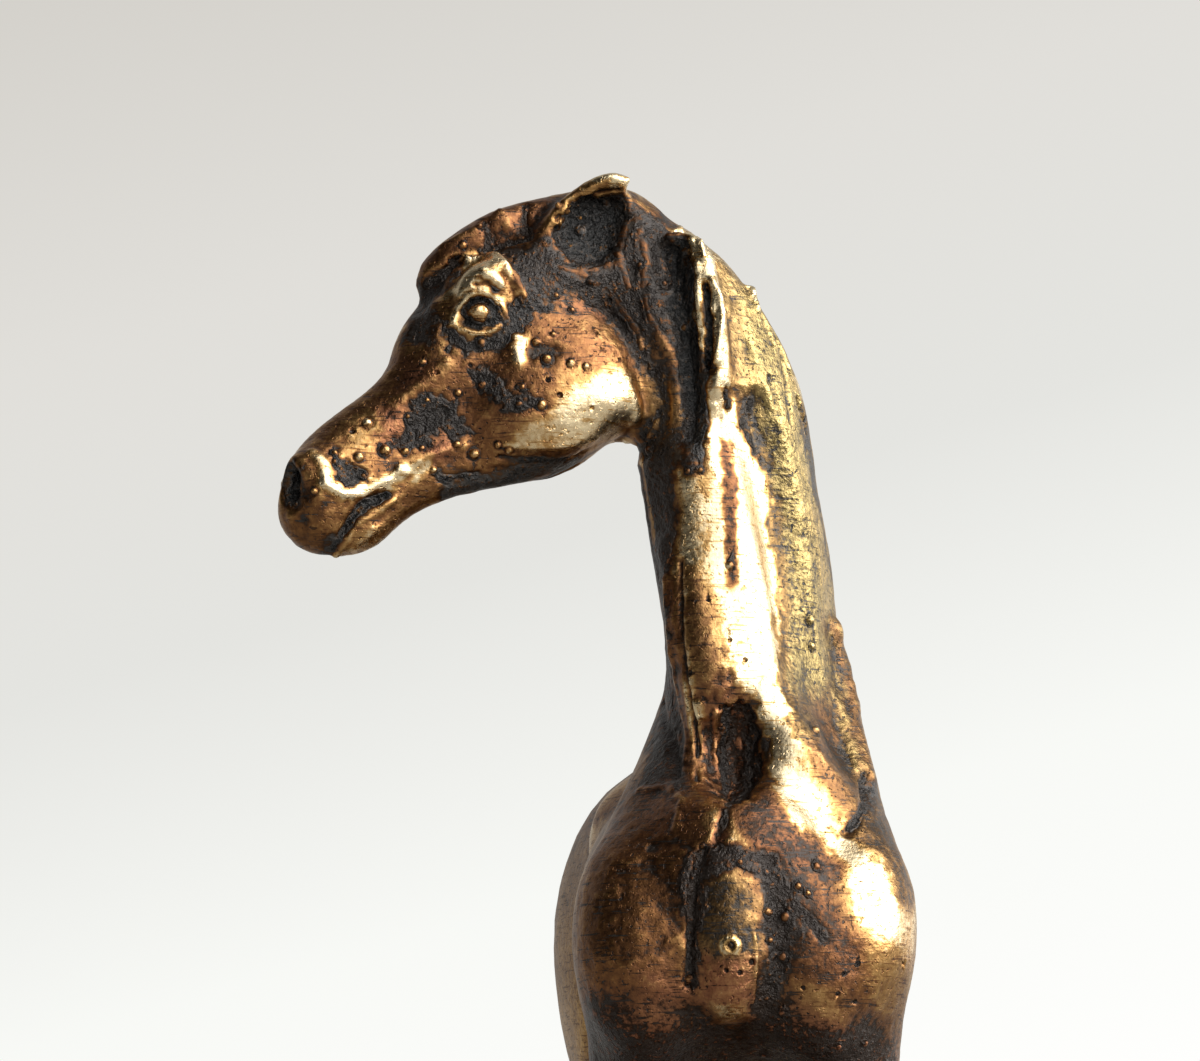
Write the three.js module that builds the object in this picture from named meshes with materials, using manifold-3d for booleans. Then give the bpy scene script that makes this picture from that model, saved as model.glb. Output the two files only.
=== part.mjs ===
// A small cast bronze horse that stands on a low plinth and turns its head to its own right.
// The horse is one casting. Its muscles are tapered tubes and egg-shaped lumps, blended like wax
// into one implicit body, which is then covered with a closed mesh.
// Millimetres, +Z up. The horse faces -Y, its left side is +X, and the origin is the centre of
// the plinth's underside.
import * as THREE from "three";
import { mergeVertices } from "three/addons/utils/BufferGeometryUtils.js";
import Module from "manifold-3d";

const wasm = await Module();
wasm.setup();

// Driving dimensions
const PLINTH_LENGTH = 60;
const PLINTH_WIDTH = 25;
const PLINTH_HEIGHT = 3;
const PLINTH_CORNER = 4;
const PLINTH_BEVEL = 0.5;
const GROUND = PLINTH_HEIGHT;
const HOOF_SINK = 1; // how far the blended legs run below the ground before they are cut flat
const LEG_SPREAD = 4.4; // from the middle plane to the middle of a leg
const CHEST_MIDDLE = -0.75; // the breast swings a little to the side that the horse looks to
const CROUP_MIDDLE = -0.4;
const MANE_LOCKS = 7;
const TAIL_STRANDS = 5;

// The head: where it meets the neck, and which way the face points and its left side looks
const POLL = [-5.9, -18.5, 69.4];
const FACE_FORWARD = [-0.717, -0.2, -0.697];
const FACE_LEFT = [0, -1, 0];

const TO_THE_LEFT = [1, 0, 0];
const COLOURS = { horse: 0x8a6236, plinth: 0x4a3a2a };

// Small vector helpers on plain arrays, which are fast enough for a million points
const add = (a, b) => [a[0] + b[0], a[1] + b[1], a[2] + b[2]];
const sub = (a, b) => [a[0] - b[0], a[1] - b[1], a[2] - b[2]];
const scale = (a, s) => [a[0] * s, a[1] * s, a[2] * s];
const dot = (a, b) => a[0] * b[0] + a[1] * b[1] + a[2] * b[2];
const cross = (a, b) => [
  a[1] * b[2] - a[2] * b[1],
  a[2] * b[0] - a[0] * b[2],
  a[0] * b[1] - a[1] * b[0],
];
const unit = (a) => scale(a, 1 / Math.hypot(...a));
const mix = (a, b, t) => a + (b - a) * t;
const mixPoints = (a, b, t) => add(scale(a, 1 - t), scale(b, t));
const square = (v) => v * v;
const radians = THREE.MathUtils.degToRad;

// Distance-like value of a point given in an ellipsoid's own axes
function eggValue(a, b, c, ra, rb, rc) {
  const k0 = Math.sqrt(square(a / ra) + square(b / rb) + square(c / rc));
  const k1 = Math.sqrt(
    square(a / (ra * ra)) + square(b / (rb * rb)) + square(c / (rc * rc)),
  );
  return k1 < 1e-9 ? -Math.min(ra, rb, rc) : (k0 * (k0 - 1)) / k1;
}

// An ellipsoid with its three radii along three directions
function egg(centre, radii, axes = [[1, 0, 0], [0, 1, 0], [0, 0, 1]]) {
  const [a, b, c] = axes.map(unit);
  const [cx, cy, cz] = centre;
  return (x, y, z) => {
    const p = [x - cx, y - cy, z - cz];
    return eggValue(dot(p, a), dot(p, b), dot(p, c), ...radii);
  };
}

// A place on a limb's middle line, with a half depth, a half width and the width's direction
const station = (at, deep, wide, side = TO_THE_LEFT) => ({ at, deep, wide, side });

// Evenly eased stations between the given ones, through one smooth curve
function smoothStations(stations, steps) {
  const places = stations.map((s) => new THREE.Vector3(...s.at));
  const sizes = stations.map((s) => new THREE.Vector3(s.deep, s.wide, 0));
  const sides = stations.map((s) => new THREE.Vector3(...s.side));
  const curves = [places, sizes, sides].map(
    (points) => new THREE.CatmullRomCurve3(points, false, "centripetal"),
  );
  const count = (stations.length - 1) * steps;
  return Array.from({ length: count + 1 }, (_, i) => {
    const [place, size, side] = curves.map((curve) => curve.getPoint(i / count));
    return station(place.toArray(), size.x, size.y, side.toArray());
  });
}

// The stretch from one station to the next, with the directions along, across and through it
function span(start, end) {
  const along = sub(end.at, start.at);
  const length = Math.hypot(...along);
  const way = scale(along, 1 / length);
  const side = unit(sub(start.side, scale(way, dot(start.side, way))));
  return { start, end, length, way, side, depth: cross(way, side) };
}

const spansOf = (stations) => stations.slice(1).map((end, i) => span(stations[i], end));

// A tube of elliptical section through stations
function limb(stations, steps = 3) {
  const fine = smoothStations(stations, steps);
  const spans = spansOf(fine);
  const reach = Math.max(...fine.map((s) => Math.max(s.deep, s.wide)));
  const low = [0, 1, 2].map((n) => Math.min(...fine.map((s) => s.at[n])) - reach);
  const high = [0, 1, 2].map((n) => Math.max(...fine.map((s) => s.at[n])) + reach);
  const farAway = 4;
  return (x, y, z) => {
    const away = Math.max(
      low[0] - x, x - high[0], low[1] - y, y - high[1], low[2] - z, z - high[2],
    );
    if (away > farAway) return away;
    let best = Infinity;
    for (const s of spans) {
      const p = [x - s.start.at[0], y - s.start.at[1], z - s.start.at[2]];
      const run = dot(p, s.way);
      const t = Math.min(1, Math.max(0, run / s.length));
      const d = mix(s.start.deep, s.end.deep, t);
      const w = mix(s.start.wide, s.end.wide, t);
      const past = run - t * s.length;
      const value = eggValue(past, dot(p, s.depth), dot(p, s.side), Math.min(d, w), d, w);
      if (value < best) best = value;
    }
    return best;
  };
}

// A round tube through places, which tapers at both ends like a pinched roll of wax
const roll = (places, radius) =>
  limb(
    places.map((at, i) => {
      const fullness = Math.sin((Math.PI * (i + 0.6)) / (places.length + 0.2));
      return station(at, radius * fullness, radius * fullness);
    }),
  );

// The list of forms that make the horse, in the order in which they are blended
const forms = [];
const grow = (softness, value) => forms.push({ softness, value, carve: false });
const carve = (softness, value) => forms.push({ softness, value, carve: true });
const bothSides = (make) => [1, -1].forEach(make);

function blend(a, b, softness) {
  const h = Math.max(softness - Math.abs(a - b), 0) / softness;
  return Math.min(a, b) - (h * h * softness) / 4;
}

function horseField(x, y, z) {
  let value = 1e3;
  for (const form of forms) {
    const own = form.value(x, y, z);
    value = form.carve
      ? -blend(-value, own, form.softness)
      : blend(value, own, form.softness);
  }
  return value;
}

function addTrunk() {
  grow(
    1,
    limb([
      station([-0.5, -20.6, 39.4], 6.4, 5.1),
      station([-0.2, -17.5, 39.6], 8.2, 6.0),
      station([0, -10, 39.6], 8.7, 6.7),
      station([0, -2, 40], 8.4, 7.5),
      station([-0.1, 6, 41.2], 7.5, 7.4),
      station([-0.3, 13, 42.7], 7.2, 6.7),
      station([-0.4, 19, 42.8], 6.2, 5.9),
      station([-0.4, 23, 42.6], 4.2, 4.2),
    ]),
  );
  const ridge = [[0.6, -13.5, 48.4], [0.4, -9.5, 49.3], [0.1, -5, 48.4], [0, 1, 46.6]];
  grow(2.5, limb(ridge.map((at) => station(at, 2.6, 2.0)))); // withers
  grow(2.5, egg([CROUP_MIDDLE, 13.6, 46.6], [4.3, 8.4, 4.3])); // croup
}

function addChest() {
  bothSides((s) => {
    const bend = 1.2; // the neck turns away from the left shoulder blade, which stands out more
    grow(
      1.4,
      limb([
        station([s * 2.5 + bend, -11.8, 48.8 + s * 0.9], 2.2, 1.3),
        station([s * 3.8 + bend * 0.6, -15.8, 44.6], 3.3, 1.6),
        station([s * 5.1, -20, 39.4], 3.6, 2.0),
      ]),
    ); // shoulder blade
    grow(0.9, egg([s * 4.9, -20.7, 38.6], [2.5, 3.8, 4.2])); // point of shoulder
    grow(1.5, egg([s * 3.6 + CHEST_MIDDLE, -22.2, 37.0], [2.7, 3.1, 4.4])); // breast muscle
    const behindShoulder = [[s * 5.8, -10.8, 45.5], [s * 7.3, -11.9, 40.5], [s * 7.2, -12.4, 35.5]];
    carve(1.4, roll(behindShoulder, 0.7));
  });
  grow(0.8, egg([CHEST_MIDDLE, -24.4, 38], [1.5, 1.7, 3.7])); // breastbone
  bothSides((s) => {
    const groove = [[s * 1.9, -25.9, 41.4], [s * 1.8, -26.2, 38], [s * 1.8, -25.6, 34.6]];
    carve(0.9, roll(groove.map((at) => add(at, [CHEST_MIDDLE, 0, 0])), 0.5));
  });
}

function addForeleg(side, stride) {
  const joint = (height, y, deep, wide) => {
    const fall = Math.max(0, 1 - (height - GROUND) / 28);
    return station([side * LEG_SPREAD, y + stride * fall, height], deep, wide);
  };
  grow(
    1.6,
    limb([
      joint(37, -18.3, 4.2, 2.6),
      joint(32.6, -17.6, 3.6, 2.4),
      joint(28.6, -17, 2.8, 2.05),
      joint(24.6, -16.7, 2.0, 1.65),
      joint(21, -16.5, 1.55, 1.4),
      joint(18.6, -16.7, 1.75, 1.65), // knee
      joint(16.4, -16.4, 1.4, 1.3),
      joint(13, -16.3, 1.2, 1.05),
      joint(10.6, -16.3, 1.25, 1.1),
      joint(8.9, -16.4, 1.6, 1.4), // fetlock
      joint(7.6, -17.1, 1.2, 1.2),
      joint(6.3, -18.0, 1.75, 1.75),
      joint(GROUND - HOOF_SINK, -19.4, 2.8, 2.45), // hoof
    ]),
  );
  grow(2.0, egg([side * 4.3, -14.4, 32.4], [1.6, 2.2, 2.6])); // elbow
}

function addHindLeg(side, stride) {
  const joint = (height, y, deep, wide) => {
    const fall = Math.max(0, 1 - (height - GROUND) / 29);
    return station([side * LEG_SPREAD, y + stride * fall, height], deep, wide);
  };
  grow(
    2.2,
    limb([
      joint(41, 17.6, 6.4, 3.1),
      joint(36, 16.6, 6.2, 3.0),
      joint(32, 16.6, 4.9, 2.6),
      joint(28, 18.6, 3.2, 2.0),
      joint(24.8, 21.2, 2.3, 1.65),
      joint(21.8, 23.3, 2.05, 1.55), // hock
      joint(19.2, 23.7, 1.65, 1.35),
      joint(15, 23.6, 1.3, 1.15),
      joint(11, 23.5, 1.3, 1.1),
      joint(9.1, 23.4, 1.65, 1.4), // fetlock
      joint(7.8, 22.6, 1.25, 1.25),
      joint(6.3, 21.6, 1.75, 1.75),
      joint(GROUND - HOOF_SINK, 20.3, 2.8, 2.45), // hoof
    ]),
  );
  grow(1.4, egg([side * LEG_SPREAD, 24.8 + stride * 0.3, 23.2], [0.9, 1.0, 1.9])); // point of hock
  grow(1.6, egg([side * 5.1, 12.8, 34.2], [1.9, 2.3, 3.2])); // stifle
  const haunchAxes = [[1, 0, 0], [0, 1, 0.25], [0, -0.25, 1]];
  grow(2.2, egg([side * 4.3 + CROUP_MIDDLE, 17.8, 40.4], [3.9, 7.0, 8.4], haunchAxes));
  grow(2.0, egg([side * 3.2 + CROUP_MIDDLE, 23.0, 39.2], [2.8, 3.7, 6.4])); // buttock
  grow(1.6, egg([side * 4.3 + CROUP_MIDDLE, 9.2, 46.0], [1.9, 2.2, 1.9])); // hip
  const thighGroove = [[7.0, 20.4, 46], [7.7, 22.8, 40.5], [6.6, 22.6, 34.5]];
  carve(1.4, roll(thighGroove.map(([x, y, z]) => [side * x + CROUP_MIDDLE, y, z]), 0.7));
  carve(2.0, egg([side * 8.6, 6.6, 40.5], [1.4, 2.4, 4.2])); // flank
}

function addTail() {
  const root = [
    station([-0.4, 22.6, 46.8], 1.6, 1.6),
    station([-0.4, 25.6, 46.0], 1.5, 1.5),
    station([-0.3, 27.6, 42.6], 1.6, 1.8),
    station([0, 28.6, 37], 1.9, 2.3),
    station([0.4, 29.0, 30.5], 1.9, 2.5),
    station([0.5, 28.8, 24], 1.6, 2.1),
    station([0.2, 28.6, 18], 1.25, 1.5),
    station([-0.3, 28.8, 14.4], 0.9, 1.0),
  ];
  grow(1.0, limb(root));
  for (let i = 0; i < TAIL_STRANDS; i++) {
    const turn = radians(180 + (180 * (i + 0.5)) / TAIL_STRANDS);
    const strand = root.slice(2, -1).map((s, n) => {
      const sway = 0.25 * Math.sin(n + i * 2.1);
      const out = [Math.cos(turn) * s.wide + sway, -Math.sin(turn) * s.deep, 0];
      return add(s.at, scale(out, 0.85));
    });
    grow(0.4, roll(strand, 0.85));
  }
}

// The neck rises and turns: its width direction swings from the horse's left to the front
const towards = (degrees) => [Math.sin(radians(degrees)), -Math.cos(radians(degrees)), 0];
const neck = [
  station([0, -11.4, 43.4], 8.8, 4.6, towards(90)),
  station([0.6, -14.2, 48.6], 7.4, 3.9, towards(82)),
  station([0.4, -16.3, 53.5], 5.4, 3.4, towards(60)),
  station([-0.5, -17.6, 58], 4.1, 3.1, towards(30)),
  station([-1.5, -18.2, 62.5], 3.8, 2.8, towards(14)),
  station([-3.4, -18.5, 66], 3.4, 2.6, towards(6)),
  station([-5.3, -18.5, 68.2], 2.9, 2.4, towards(2)),
];
const neckSpans = spansOf(smoothStations(neck, 6));

// A place on the neck's skin. The share runs from root to poll, and the turn in degrees from the
// crest round the horse's left side to the throat at 180. Proud is the height over the skin.
function neckSkin(share, turn, proud = 0) {
  const place = Math.min(Math.max(share, 0), 1) * (neckSpans.length - 1e-6);
  const { start, end, side, depth } = neckSpans[Math.floor(place)];
  const t = place % 1;
  const out = add(
    scale(depth, Math.cos(radians(turn)) * (mix(start.deep, end.deep, t) + proud)),
    scale(side, Math.sin(radians(turn)) * (mix(start.wide, end.wide, t) + proud)),
  );
  return add(mixPoints(start.at, end.at, t), out);
}

function addNeck() {
  grow(2.2, limb(neck, 6));
  const band = [
    [-1.1, -20.1, 60], [-0.2, -20.2, 54.6], [1.3, -20.6, 48.4], [3.1, -20.8, 44], [5, -20.6, 39.8],
  ];
  grow(0.9, limb(band.map((at, i) => station(at, 1.4 + 0.1 * i, 1.4 + 0.1 * i)))); // neck muscle
  const windpipe = [
    [-3.4, -18.6, 60], [-2.6, -19.2, 56], [-2.0, -20.2, 52], [-1.7, -21, 48.6], [-1.6, -21.4, 46.4],
  ];
  grow(0.9, roll(windpipe, 1.4));
  const besideMuscle = [[1.5, -21, 58.6], [2.8, -20.6, 54], [3.7, -20.6, 50], [3.8, -21.2, 46]];
  carve(0.9, roll(besideMuscle, 0.7));
  const besideWindpipe = [[-1.9, -22, 58], [-1.3, -22.3, 54.5], [-0.7, -22.8, 51], [-0.5, -23.2, 48]];
  carve(0.9, roll(besideWindpipe, 0.6));
  carve(1.0, egg([-0.8, -23.2, 46.2], [1.5, 1.8, 2.3])); // hollow at the root of the neck
}

function addMane() {
  const crestShares = [0.1, 0.28, 0.46, 0.64, 0.8, 0.93];
  grow(0.8, limb(crestShares.map((share) => station(neckSkin(share, 0, -0.5), 1.0, 1.0))));
  for (let i = 0; i < MANE_LOCKS; i++) {
    const top = mix(0.98, 0.32, i / (MANE_LOCKS - 1));
    const sweep = mix(27, 12, i / (MANE_LOCKS - 1));
    const lock = [0, 1, 2, 3, 4].map((n) => {
      const wave = 3 * Math.sin(i * 1.7);
      return neckSkin(top - 0.058 * n, -8 - sweep * n + wave, 0.15);
    });
    grow(0.4, roll(lock, 1.3));
  }
  const fin = [
    [-3.3, -20.6, 69.5], [-2.1, -20.9, 68.9], [-1.5, -21.1, 67.0], [-1.0, -21.2, 64.8],
    [-1.1, -21.1, 62.2], [-1.5, -20.9, 60.2],
  ];
  grow(0.3, roll(fin, 0.75)); // the one lock that lies on the left side
  carve(0.6, roll([[-0.7, -20.9, 67.6], [-0.1, -21.0, 65], [0.2, -21.0, 62]], 0.6));
}

// Points of the head, in its own frame: forward from the poll, up to the forehead, and left
const faceForward = unit(FACE_FORWARD);
const faceLeft = unit(sub(FACE_LEFT, scale(faceForward, dot(FACE_LEFT, faceForward))));
const faceUp = cross(faceForward, faceLeft);
const faceAxes = [faceForward, faceUp, faceLeft];
const face = (forward, up, left) =>
  add(
    POLL,
    add(scale(faceForward, forward), add(scale(faceUp, up), scale(faceLeft, left))),
  );
const faceStation = (forward, up, deep, wide, left = 0) =>
  station(face(forward, up, left), deep, wide, faceLeft);
const faceEgg = (at, radii) => egg(face(...at), radii, faceAxes);

function addSkull() {
  grow(
    1.2,
    limb([
      faceStation(-0.4, 0, 2.6, 2.3),
      faceStation(3, 0.5, 2.9, 2.7),
      faceStation(6.2, 0.6, 3.0, 2.9),
      faceStation(8.9, 0.7, 2.9, 2.5),
      faceStation(10.5, 0.1, 2.6, 2.15),
      faceStation(12.5, -0.2, 2.5, 1.85),
      faceStation(14.5, 0.1, 2.35, 1.75),
      faceStation(16.6, 0.1, 2.4, 1.85),
      faceStation(18.3, -0.5, 2.1, 1.85),
    ]),
  );
  grow(
    0.9,
    limb([
      faceStation(5.2, -4.2, 2.6, 1.9),
      faceStation(8.6, -4.0, 2.2, 1.7),
      faceStation(12.3, -2.5, 1.7, 1.35),
      faceStation(15.4, -1.9, 1.25, 1.25),
      faceStation(17.2, -1.9, 1.35, 1.35),
    ]),
  ); // lower jaw
}

function addFeatures(s) {
  grow(0.8, faceEgg([7.1, -3.2, s * 1.5], [3.8, 3.2, 1.6])); // cheek
  grow(0.6, faceEgg([6.4, 2.0, s * 2.5], [1.5, 1.0, 1.0])); // brow
  carve(0.5, faceEgg([7.9, 0.5, s * 3.6], [1.7, 1.3, 0.9])); // eye hollow
  grow(0.25, faceEgg([7.6, 0.95, s * 2.6], [0.9, 0.8, 0.75])); // eyeball
  carve(0.7, faceEgg([12.6, -1.2, s * 2.6], [2.2, 0.7, 0.7])); // hollow of the face
  grow(0.5, faceEgg([17.9, 0.7, s * 1.3], [1.5, 1.5, 0.9])); // nostril wing
  carve(0.3, faceEgg([18.9, 1.0, s * 1.9], [0.6, 0.9, 0.9])); // nostril
  const mouth = [[15.9, -1.7], [17.4, -1.8], [18.8, -2.1], [19.8, -2.3]];
  carve(0.3, roll(mouth.map(([forward, up], i) => face(forward, up, s * (1.8 - 0.3 * i))), 0.45));
}

// An ear that is laid back: a thin rim that curls over a hollow
function addEar(s) {
  const rim = [
    [2.9, 1.8, 1.9], [1.4, 2.1, 2.4], [0.2, 2.0, 2.7], [-0.8, 1.7, 2.9], [-1.5, 1.0, 3.0],
  ];
  carve(0.8, faceEgg([0.6, 0.2, s * 3.2], [1.6, 1.3, 1.0]));
  grow(0.4, limb(rim.map(([f, u, l]) => faceStation(f, u, 0.45, 1.1, s * l))));
}

function addForelock() {
  grow(
    0.5,
    limb([
      faceStation(-0.3, 1.9, 0.9, 1.5),
      faceStation(1.6, 3.0, 0.9, 1.8),
      faceStation(3.4, 3.8, 0.9, 2.0),
      faceStation(5.2, 4.1, 0.95, 1.8),
      faceStation(6.6, 4.2, 0.95, 1.2),
      faceStation(7.5, 4.1, 0.6, 0.7),
    ]),
  );
}

addTrunk();
addChest();
addForeleg(1, -1.2);
addForeleg(-1, 1.2);
addHindLeg(1, 1.2);
addHindLeg(-1, -2);
addTail();
addNeck();
addSkull();
bothSides(addFeatures);
addForelock();
bothSides(addEar);
addMane();

// Grid lines with a spacing that changes along the axis: bands of [end, step]
function gridLines(start, bands) {
  const lines = [start];
  for (const [end, step] of bands) {
    const from = lines.at(-1);
    const count = Math.ceil((end - from) / step);
    for (let i = 1; i <= count; i++) lines.push(mix(from, end, i / count));
  }
  return lines;
}

// Fine where the head and the neck are, and coarse along the barrel and the legs
const GRID = [
  gridLines(-24, [[-8, 0.55], [0, 0.7], [11, 0.85]]),
  gridLines(-31, [[-14, 0.65], [12, 1.6], [33, 1.1]]),
  gridLines(GROUND - 6, [[9, 1.0], [30, 1.4], [50, 1.0], [57, 0.8], [75, 0.55]]),
];
const HORSE_FACES = 9400; // triangles that the mesh is thinned to
const CAREFUL_ABOVE = 57; // height from which the head and the mane keep more of them
const CARE = 5;

// Covers the zero surface of a field with quads. Each sheet of surface that passes through a grid
// cell has one vertex there, so that two sheets which pass through one cell stay apart.
function surfaceOf(field, [xs, ys, zs]) {
  const [nx, ny, nz] = [xs, ys, zs].map((lines) => lines.length);
  const total = nx * ny * nz;
  const corner = ([i, j, k]) => (i * ny + j) * nz + k;
  const placeOf = (c) => [xs[Math.floor(c / (ny * nz))], ys[Math.floor(c / nz) % ny], zs[c % nz]];
  const values = Float64Array.from({ length: total }, (_, c) => field(...placeOf(c)));
  const inside = (place) => values[corner(place)] < 0;
  const step = (place, axis, by) => place.map((v, n) => (n === axis ? v + by : v));
  const edge = (p, q) => {
    const [a, b] = [corner(p), corner(q)];
    return Math.min(a, b) * total + Math.max(a, b);
  };

  // Follows the surface round the cell's six faces, and gathers the crossed edges of each sheet
  function sheetsOf(cell) {
    let sheets = [];
    const join = (a, b) => {
      const touched = sheets.filter((sheet) => sheet.has(a) || sheet.has(b));
      const whole = new Set([a, b, ...touched.flatMap((sheet) => [...sheet])]);
      sheets = [...sheets.filter((sheet) => !touched.includes(sheet)), whole];
    };
    for (const axis of [0, 1, 2])
      for (const side of [0, 1]) {
        const corners = [[0, 0], [1, 0], [1, 1], [0, 1]].map(([m, n]) =>
          step(step(step(cell, axis, side), (axis + 1) % 3, m), (axis + 2) % 3, n),
        );
        const edges = corners.map((c, n) => edge(c, corners[(n + 1) % 4]));
        const crossed = edges.filter((_, n) => inside(corners[n]) !== inside(corners[(n + 1) % 4]));
        if (crossed.length === 2) join(...crossed);
        if (crossed.length === 4)
          corners.forEach((c, n) => {
            if (inside(c)) join(edges[n], edges[(n + 3) % 4]);
          });
      }
    return sheets;
  }

  // The place where the surface crosses a grid edge
  function crossing(key) {
    const [low, high] = [Math.floor(key / total), key % total];
    const t = values[low] / (values[low] - values[high]);
    return mixPoints(placeOf(low), placeOf(high), t);
  }

  const points = [];
  const vertices = new Map();
  function vertexOf(cell, key) {
    const own = corner(cell);
    if (!vertices.has(own)) {
      vertices.set(own, new Map());
      for (const sheet of sheetsOf(cell)) {
        for (const k of sheet) vertices.get(own).set(k, points.length);
        points.push(scale([...sheet].map(crossing).reduce(add), 1 / sheet.size));
      }
    }
    return vertices.get(own).get(key);
  }

  const quads = [];
  for (let i = 1; i < nx - 1; i++)
    for (let j = 1; j < ny - 1; j++)
      for (let k = 1; k < nz - 1; k++)
        for (const axis of [0, 1, 2]) {
          const here = [i, j, k];
          const next = step(here, axis, 1);
          if (inside(here) === inside(next)) continue;
          const ring = [[-1, -1], [0, -1], [0, 0], [-1, 0]].map(([m, n]) => {
            const cell = step(step(here, (axis + 1) % 3, m), (axis + 2) % 3, n);
            return vertexOf(cell, edge(here, next));
          });
          quads.push(inside(here) ? ring : ring.reverse());
        }
  return { points, quads };
}

// Moves each point halfway to the mean of its neighbours, which evens out the quads
function relax(points, quads) {
  const sums = points.map(() => [0, 0, 0]);
  const counts = points.map(() => 0);
  for (const ring of quads)
    ring.forEach((from, n) => {
      const to = ring[(n + 1) % 4];
      sums[from] = add(sums[from], points[to]);
      sums[to] = add(sums[to], points[from]);
      counts[from] += 1;
      counts[to] += 1;
    });
  return points.map((p, i) => mixPoints(p, scale(sums[i], 1 / counts[i]), 0.5));
}

// Moves a point along the field's slope onto the surface
function settle(field, [x, y, z]) {
  const e = 0.02;
  const slope = [
    field(x + e, y, z) - field(x - e, y, z),
    field(x, y + e, z) - field(x, y - e, z),
    field(x, y, z + e) - field(x, y, z - e),
  ].map((v) => v / (2 * e));
  const furthest = 0.3;
  const gentlest = 0.5;
  const step = field(x, y, z) / Math.max(dot(slope, slope), square(gentlest));
  return sub([x, y, z], scale(slope, Math.max(-furthest, Math.min(furthest, step))));
}

// The shorter diagonal splits each quad
function triangles(points, quads) {
  const apart = (a, b) => Math.hypot(...sub(points[a], points[b]));
  return quads.flatMap(([a, b, c, d]) =>
    apart(a, c) < apart(b, d) ? [[a, b, c], [a, c, d]] : [[a, b, d], [b, c, d]],
  );
}

// The weighted squares of a point's distances to the planes of triangles, as ten coefficients
function quadric(a, b, c) {
  const normal = cross(sub(b, a), sub(c, a));
  const area = Math.hypot(...normal);
  const [x, y, z] = scale(normal, 1 / area);
  const w = -dot([x, y, z], a);
  const terms = [x * x, x * y, x * z, x * w, y * y, y * z, y * w, z * z, z * w, w * w];
  return terms.map((v) => v * area);
}

const misfit = (q, [x, y, z]) =>
  q[0] * x * x + q[4] * y * y + q[7] * z * z + q[9] +
  2 * (q[1] * x * y + q[2] * x * z + q[3] * x + q[5] * y * z + q[6] * y + q[8] * z);

// Thins a closed mesh: closes up edges, those in the flattest places first, until few are left
function thin(points, faces, goal) {
  const longest = 3;
  const sharpestTurn = 0.5; // the least cosine between a triangle's old and new directions
  const at = [...points];
  const live = new Map(faces.map((face, i) => [i, face]));
  const around = at.map(() => new Set());
  faces.forEach((face, i) => face.forEach((v) => around[v].add(i)));
  const flatness = around.map((own) =>
    [...own]
      .map((i) => quadric(...faces[i].map((v) => at[v])))
      .reduce((sum, q) => sum.map((v, n) => v + q[n])),
  );
  const ringOf = (v) => {
    const ring = new Set([...around[v]].flatMap((i) => live.get(i)));
    ring.delete(v);
    return ring;
  };

  function close(a, b, limit) {
    const middle = mixPoints(at[a], at[b], 0.5);
    const both = flatness[a].map((v, n) => v + flatness[b][n]);
    const care = middle[2] > CAREFUL_ABOVE ? CARE : 1;
    if (misfit(both, middle) * care > limit) return false;
    const ring = ringOf(a);
    const other = ringOf(b);
    if ([...other].filter((v) => ring.has(v)).length !== 2) return false;
    for (const v of [...ring, ...other])
      if (v !== a && v !== b && Math.hypot(...sub(at[v], middle)) > longest) return false;
    for (const i of new Set([...around[a], ...around[b]])) {
      const face = live.get(i);
      if (face.includes(a) && face.includes(b)) continue;
      const before = face.map((v) => at[v]);
      const after = face.map((v) => (v === a || v === b ? middle : at[v]));
      const [n0, n1] = [before, after].map(([p, q, r]) => cross(sub(q, p), sub(r, p)));
      if (dot(n0, n1) < sharpestTurn * Math.hypot(...n0) * Math.hypot(...n1)) return false;
    }
    for (const i of [...around[b]]) {
      const face = live.get(i);
      if (face.includes(a)) {
        live.delete(i);
        face.forEach((v) => around[v].delete(i));
      } else {
        live.set(i, face.map((v) => (v === b ? a : v)));
        around[a].add(i);
      }
    }
    around[b].clear();
    at[a] = middle;
    flatness[a] = both;
    return true;
  }

  for (let limit = 1e-4; live.size > goal; limit *= 1.5)
    for (let a = 0; a < at.length && live.size > goal; a++)
      for (const b of ringOf(a)) if (b > a && close(a, b, limit)) break;

  const kept = [...new Set([...live.values()].flat())];
  const number = new Map(kept.map((v, i) => [v, i]));
  return {
    points: kept.map((v) => at[v]),
    faces: [...live.values()].map((face) => face.map((v) => number.get(v))),
  };
}

function toSolid(geometry) {
  const bare = new THREE.BufferGeometry().setAttribute(
    "position",
    (geometry.index ? geometry.toNonIndexed() : geometry).getAttribute("position"),
  );
  const merged = mergeVertices(bare, 1e-4);
  return new wasm.Manifold(
    new wasm.Mesh({
      numProp: 3,
      vertProperties: merged.attributes.position.array,
      triVerts: new Uint32Array(merged.index.array),
    }),
  );
}

function toGeometry(solid) {
  const mesh = solid.getMesh();
  return new THREE.BufferGeometry()
    .setAttribute("position", new THREE.BufferAttribute(new Float32Array(mesh.vertProperties), 3))
    .setIndex(new THREE.BufferAttribute(new Uint32Array(mesh.triVerts), 1));
}

function horseGeometry() {
  const skin = surfaceOf(horseField, GRID);
  let { points } = skin;
  for (let round = 0; round < 2; round++)
    points = relax(points, skin.quads).map((p) => settle(horseField, p));
  const light = thin(points, triangles(points, skin.quads), HORSE_FACES);
  const settled = light.points.map((p) => settle(horseField, settle(horseField, p)));
  const geometry = new THREE.BufferGeometry()
    .setAttribute("position", new THREE.Float32BufferAttribute(settled.flat(), 3))
    .setIndex(light.faces.flat());
  const [across, deep] = [120, 20];
  const underground = new THREE.BoxGeometry(across, across, deep);
  underground.translate(0, 0, GROUND - deep / 2);
  return toGeometry(toSolid(geometry).subtract(toSolid(underground)));
}

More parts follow.
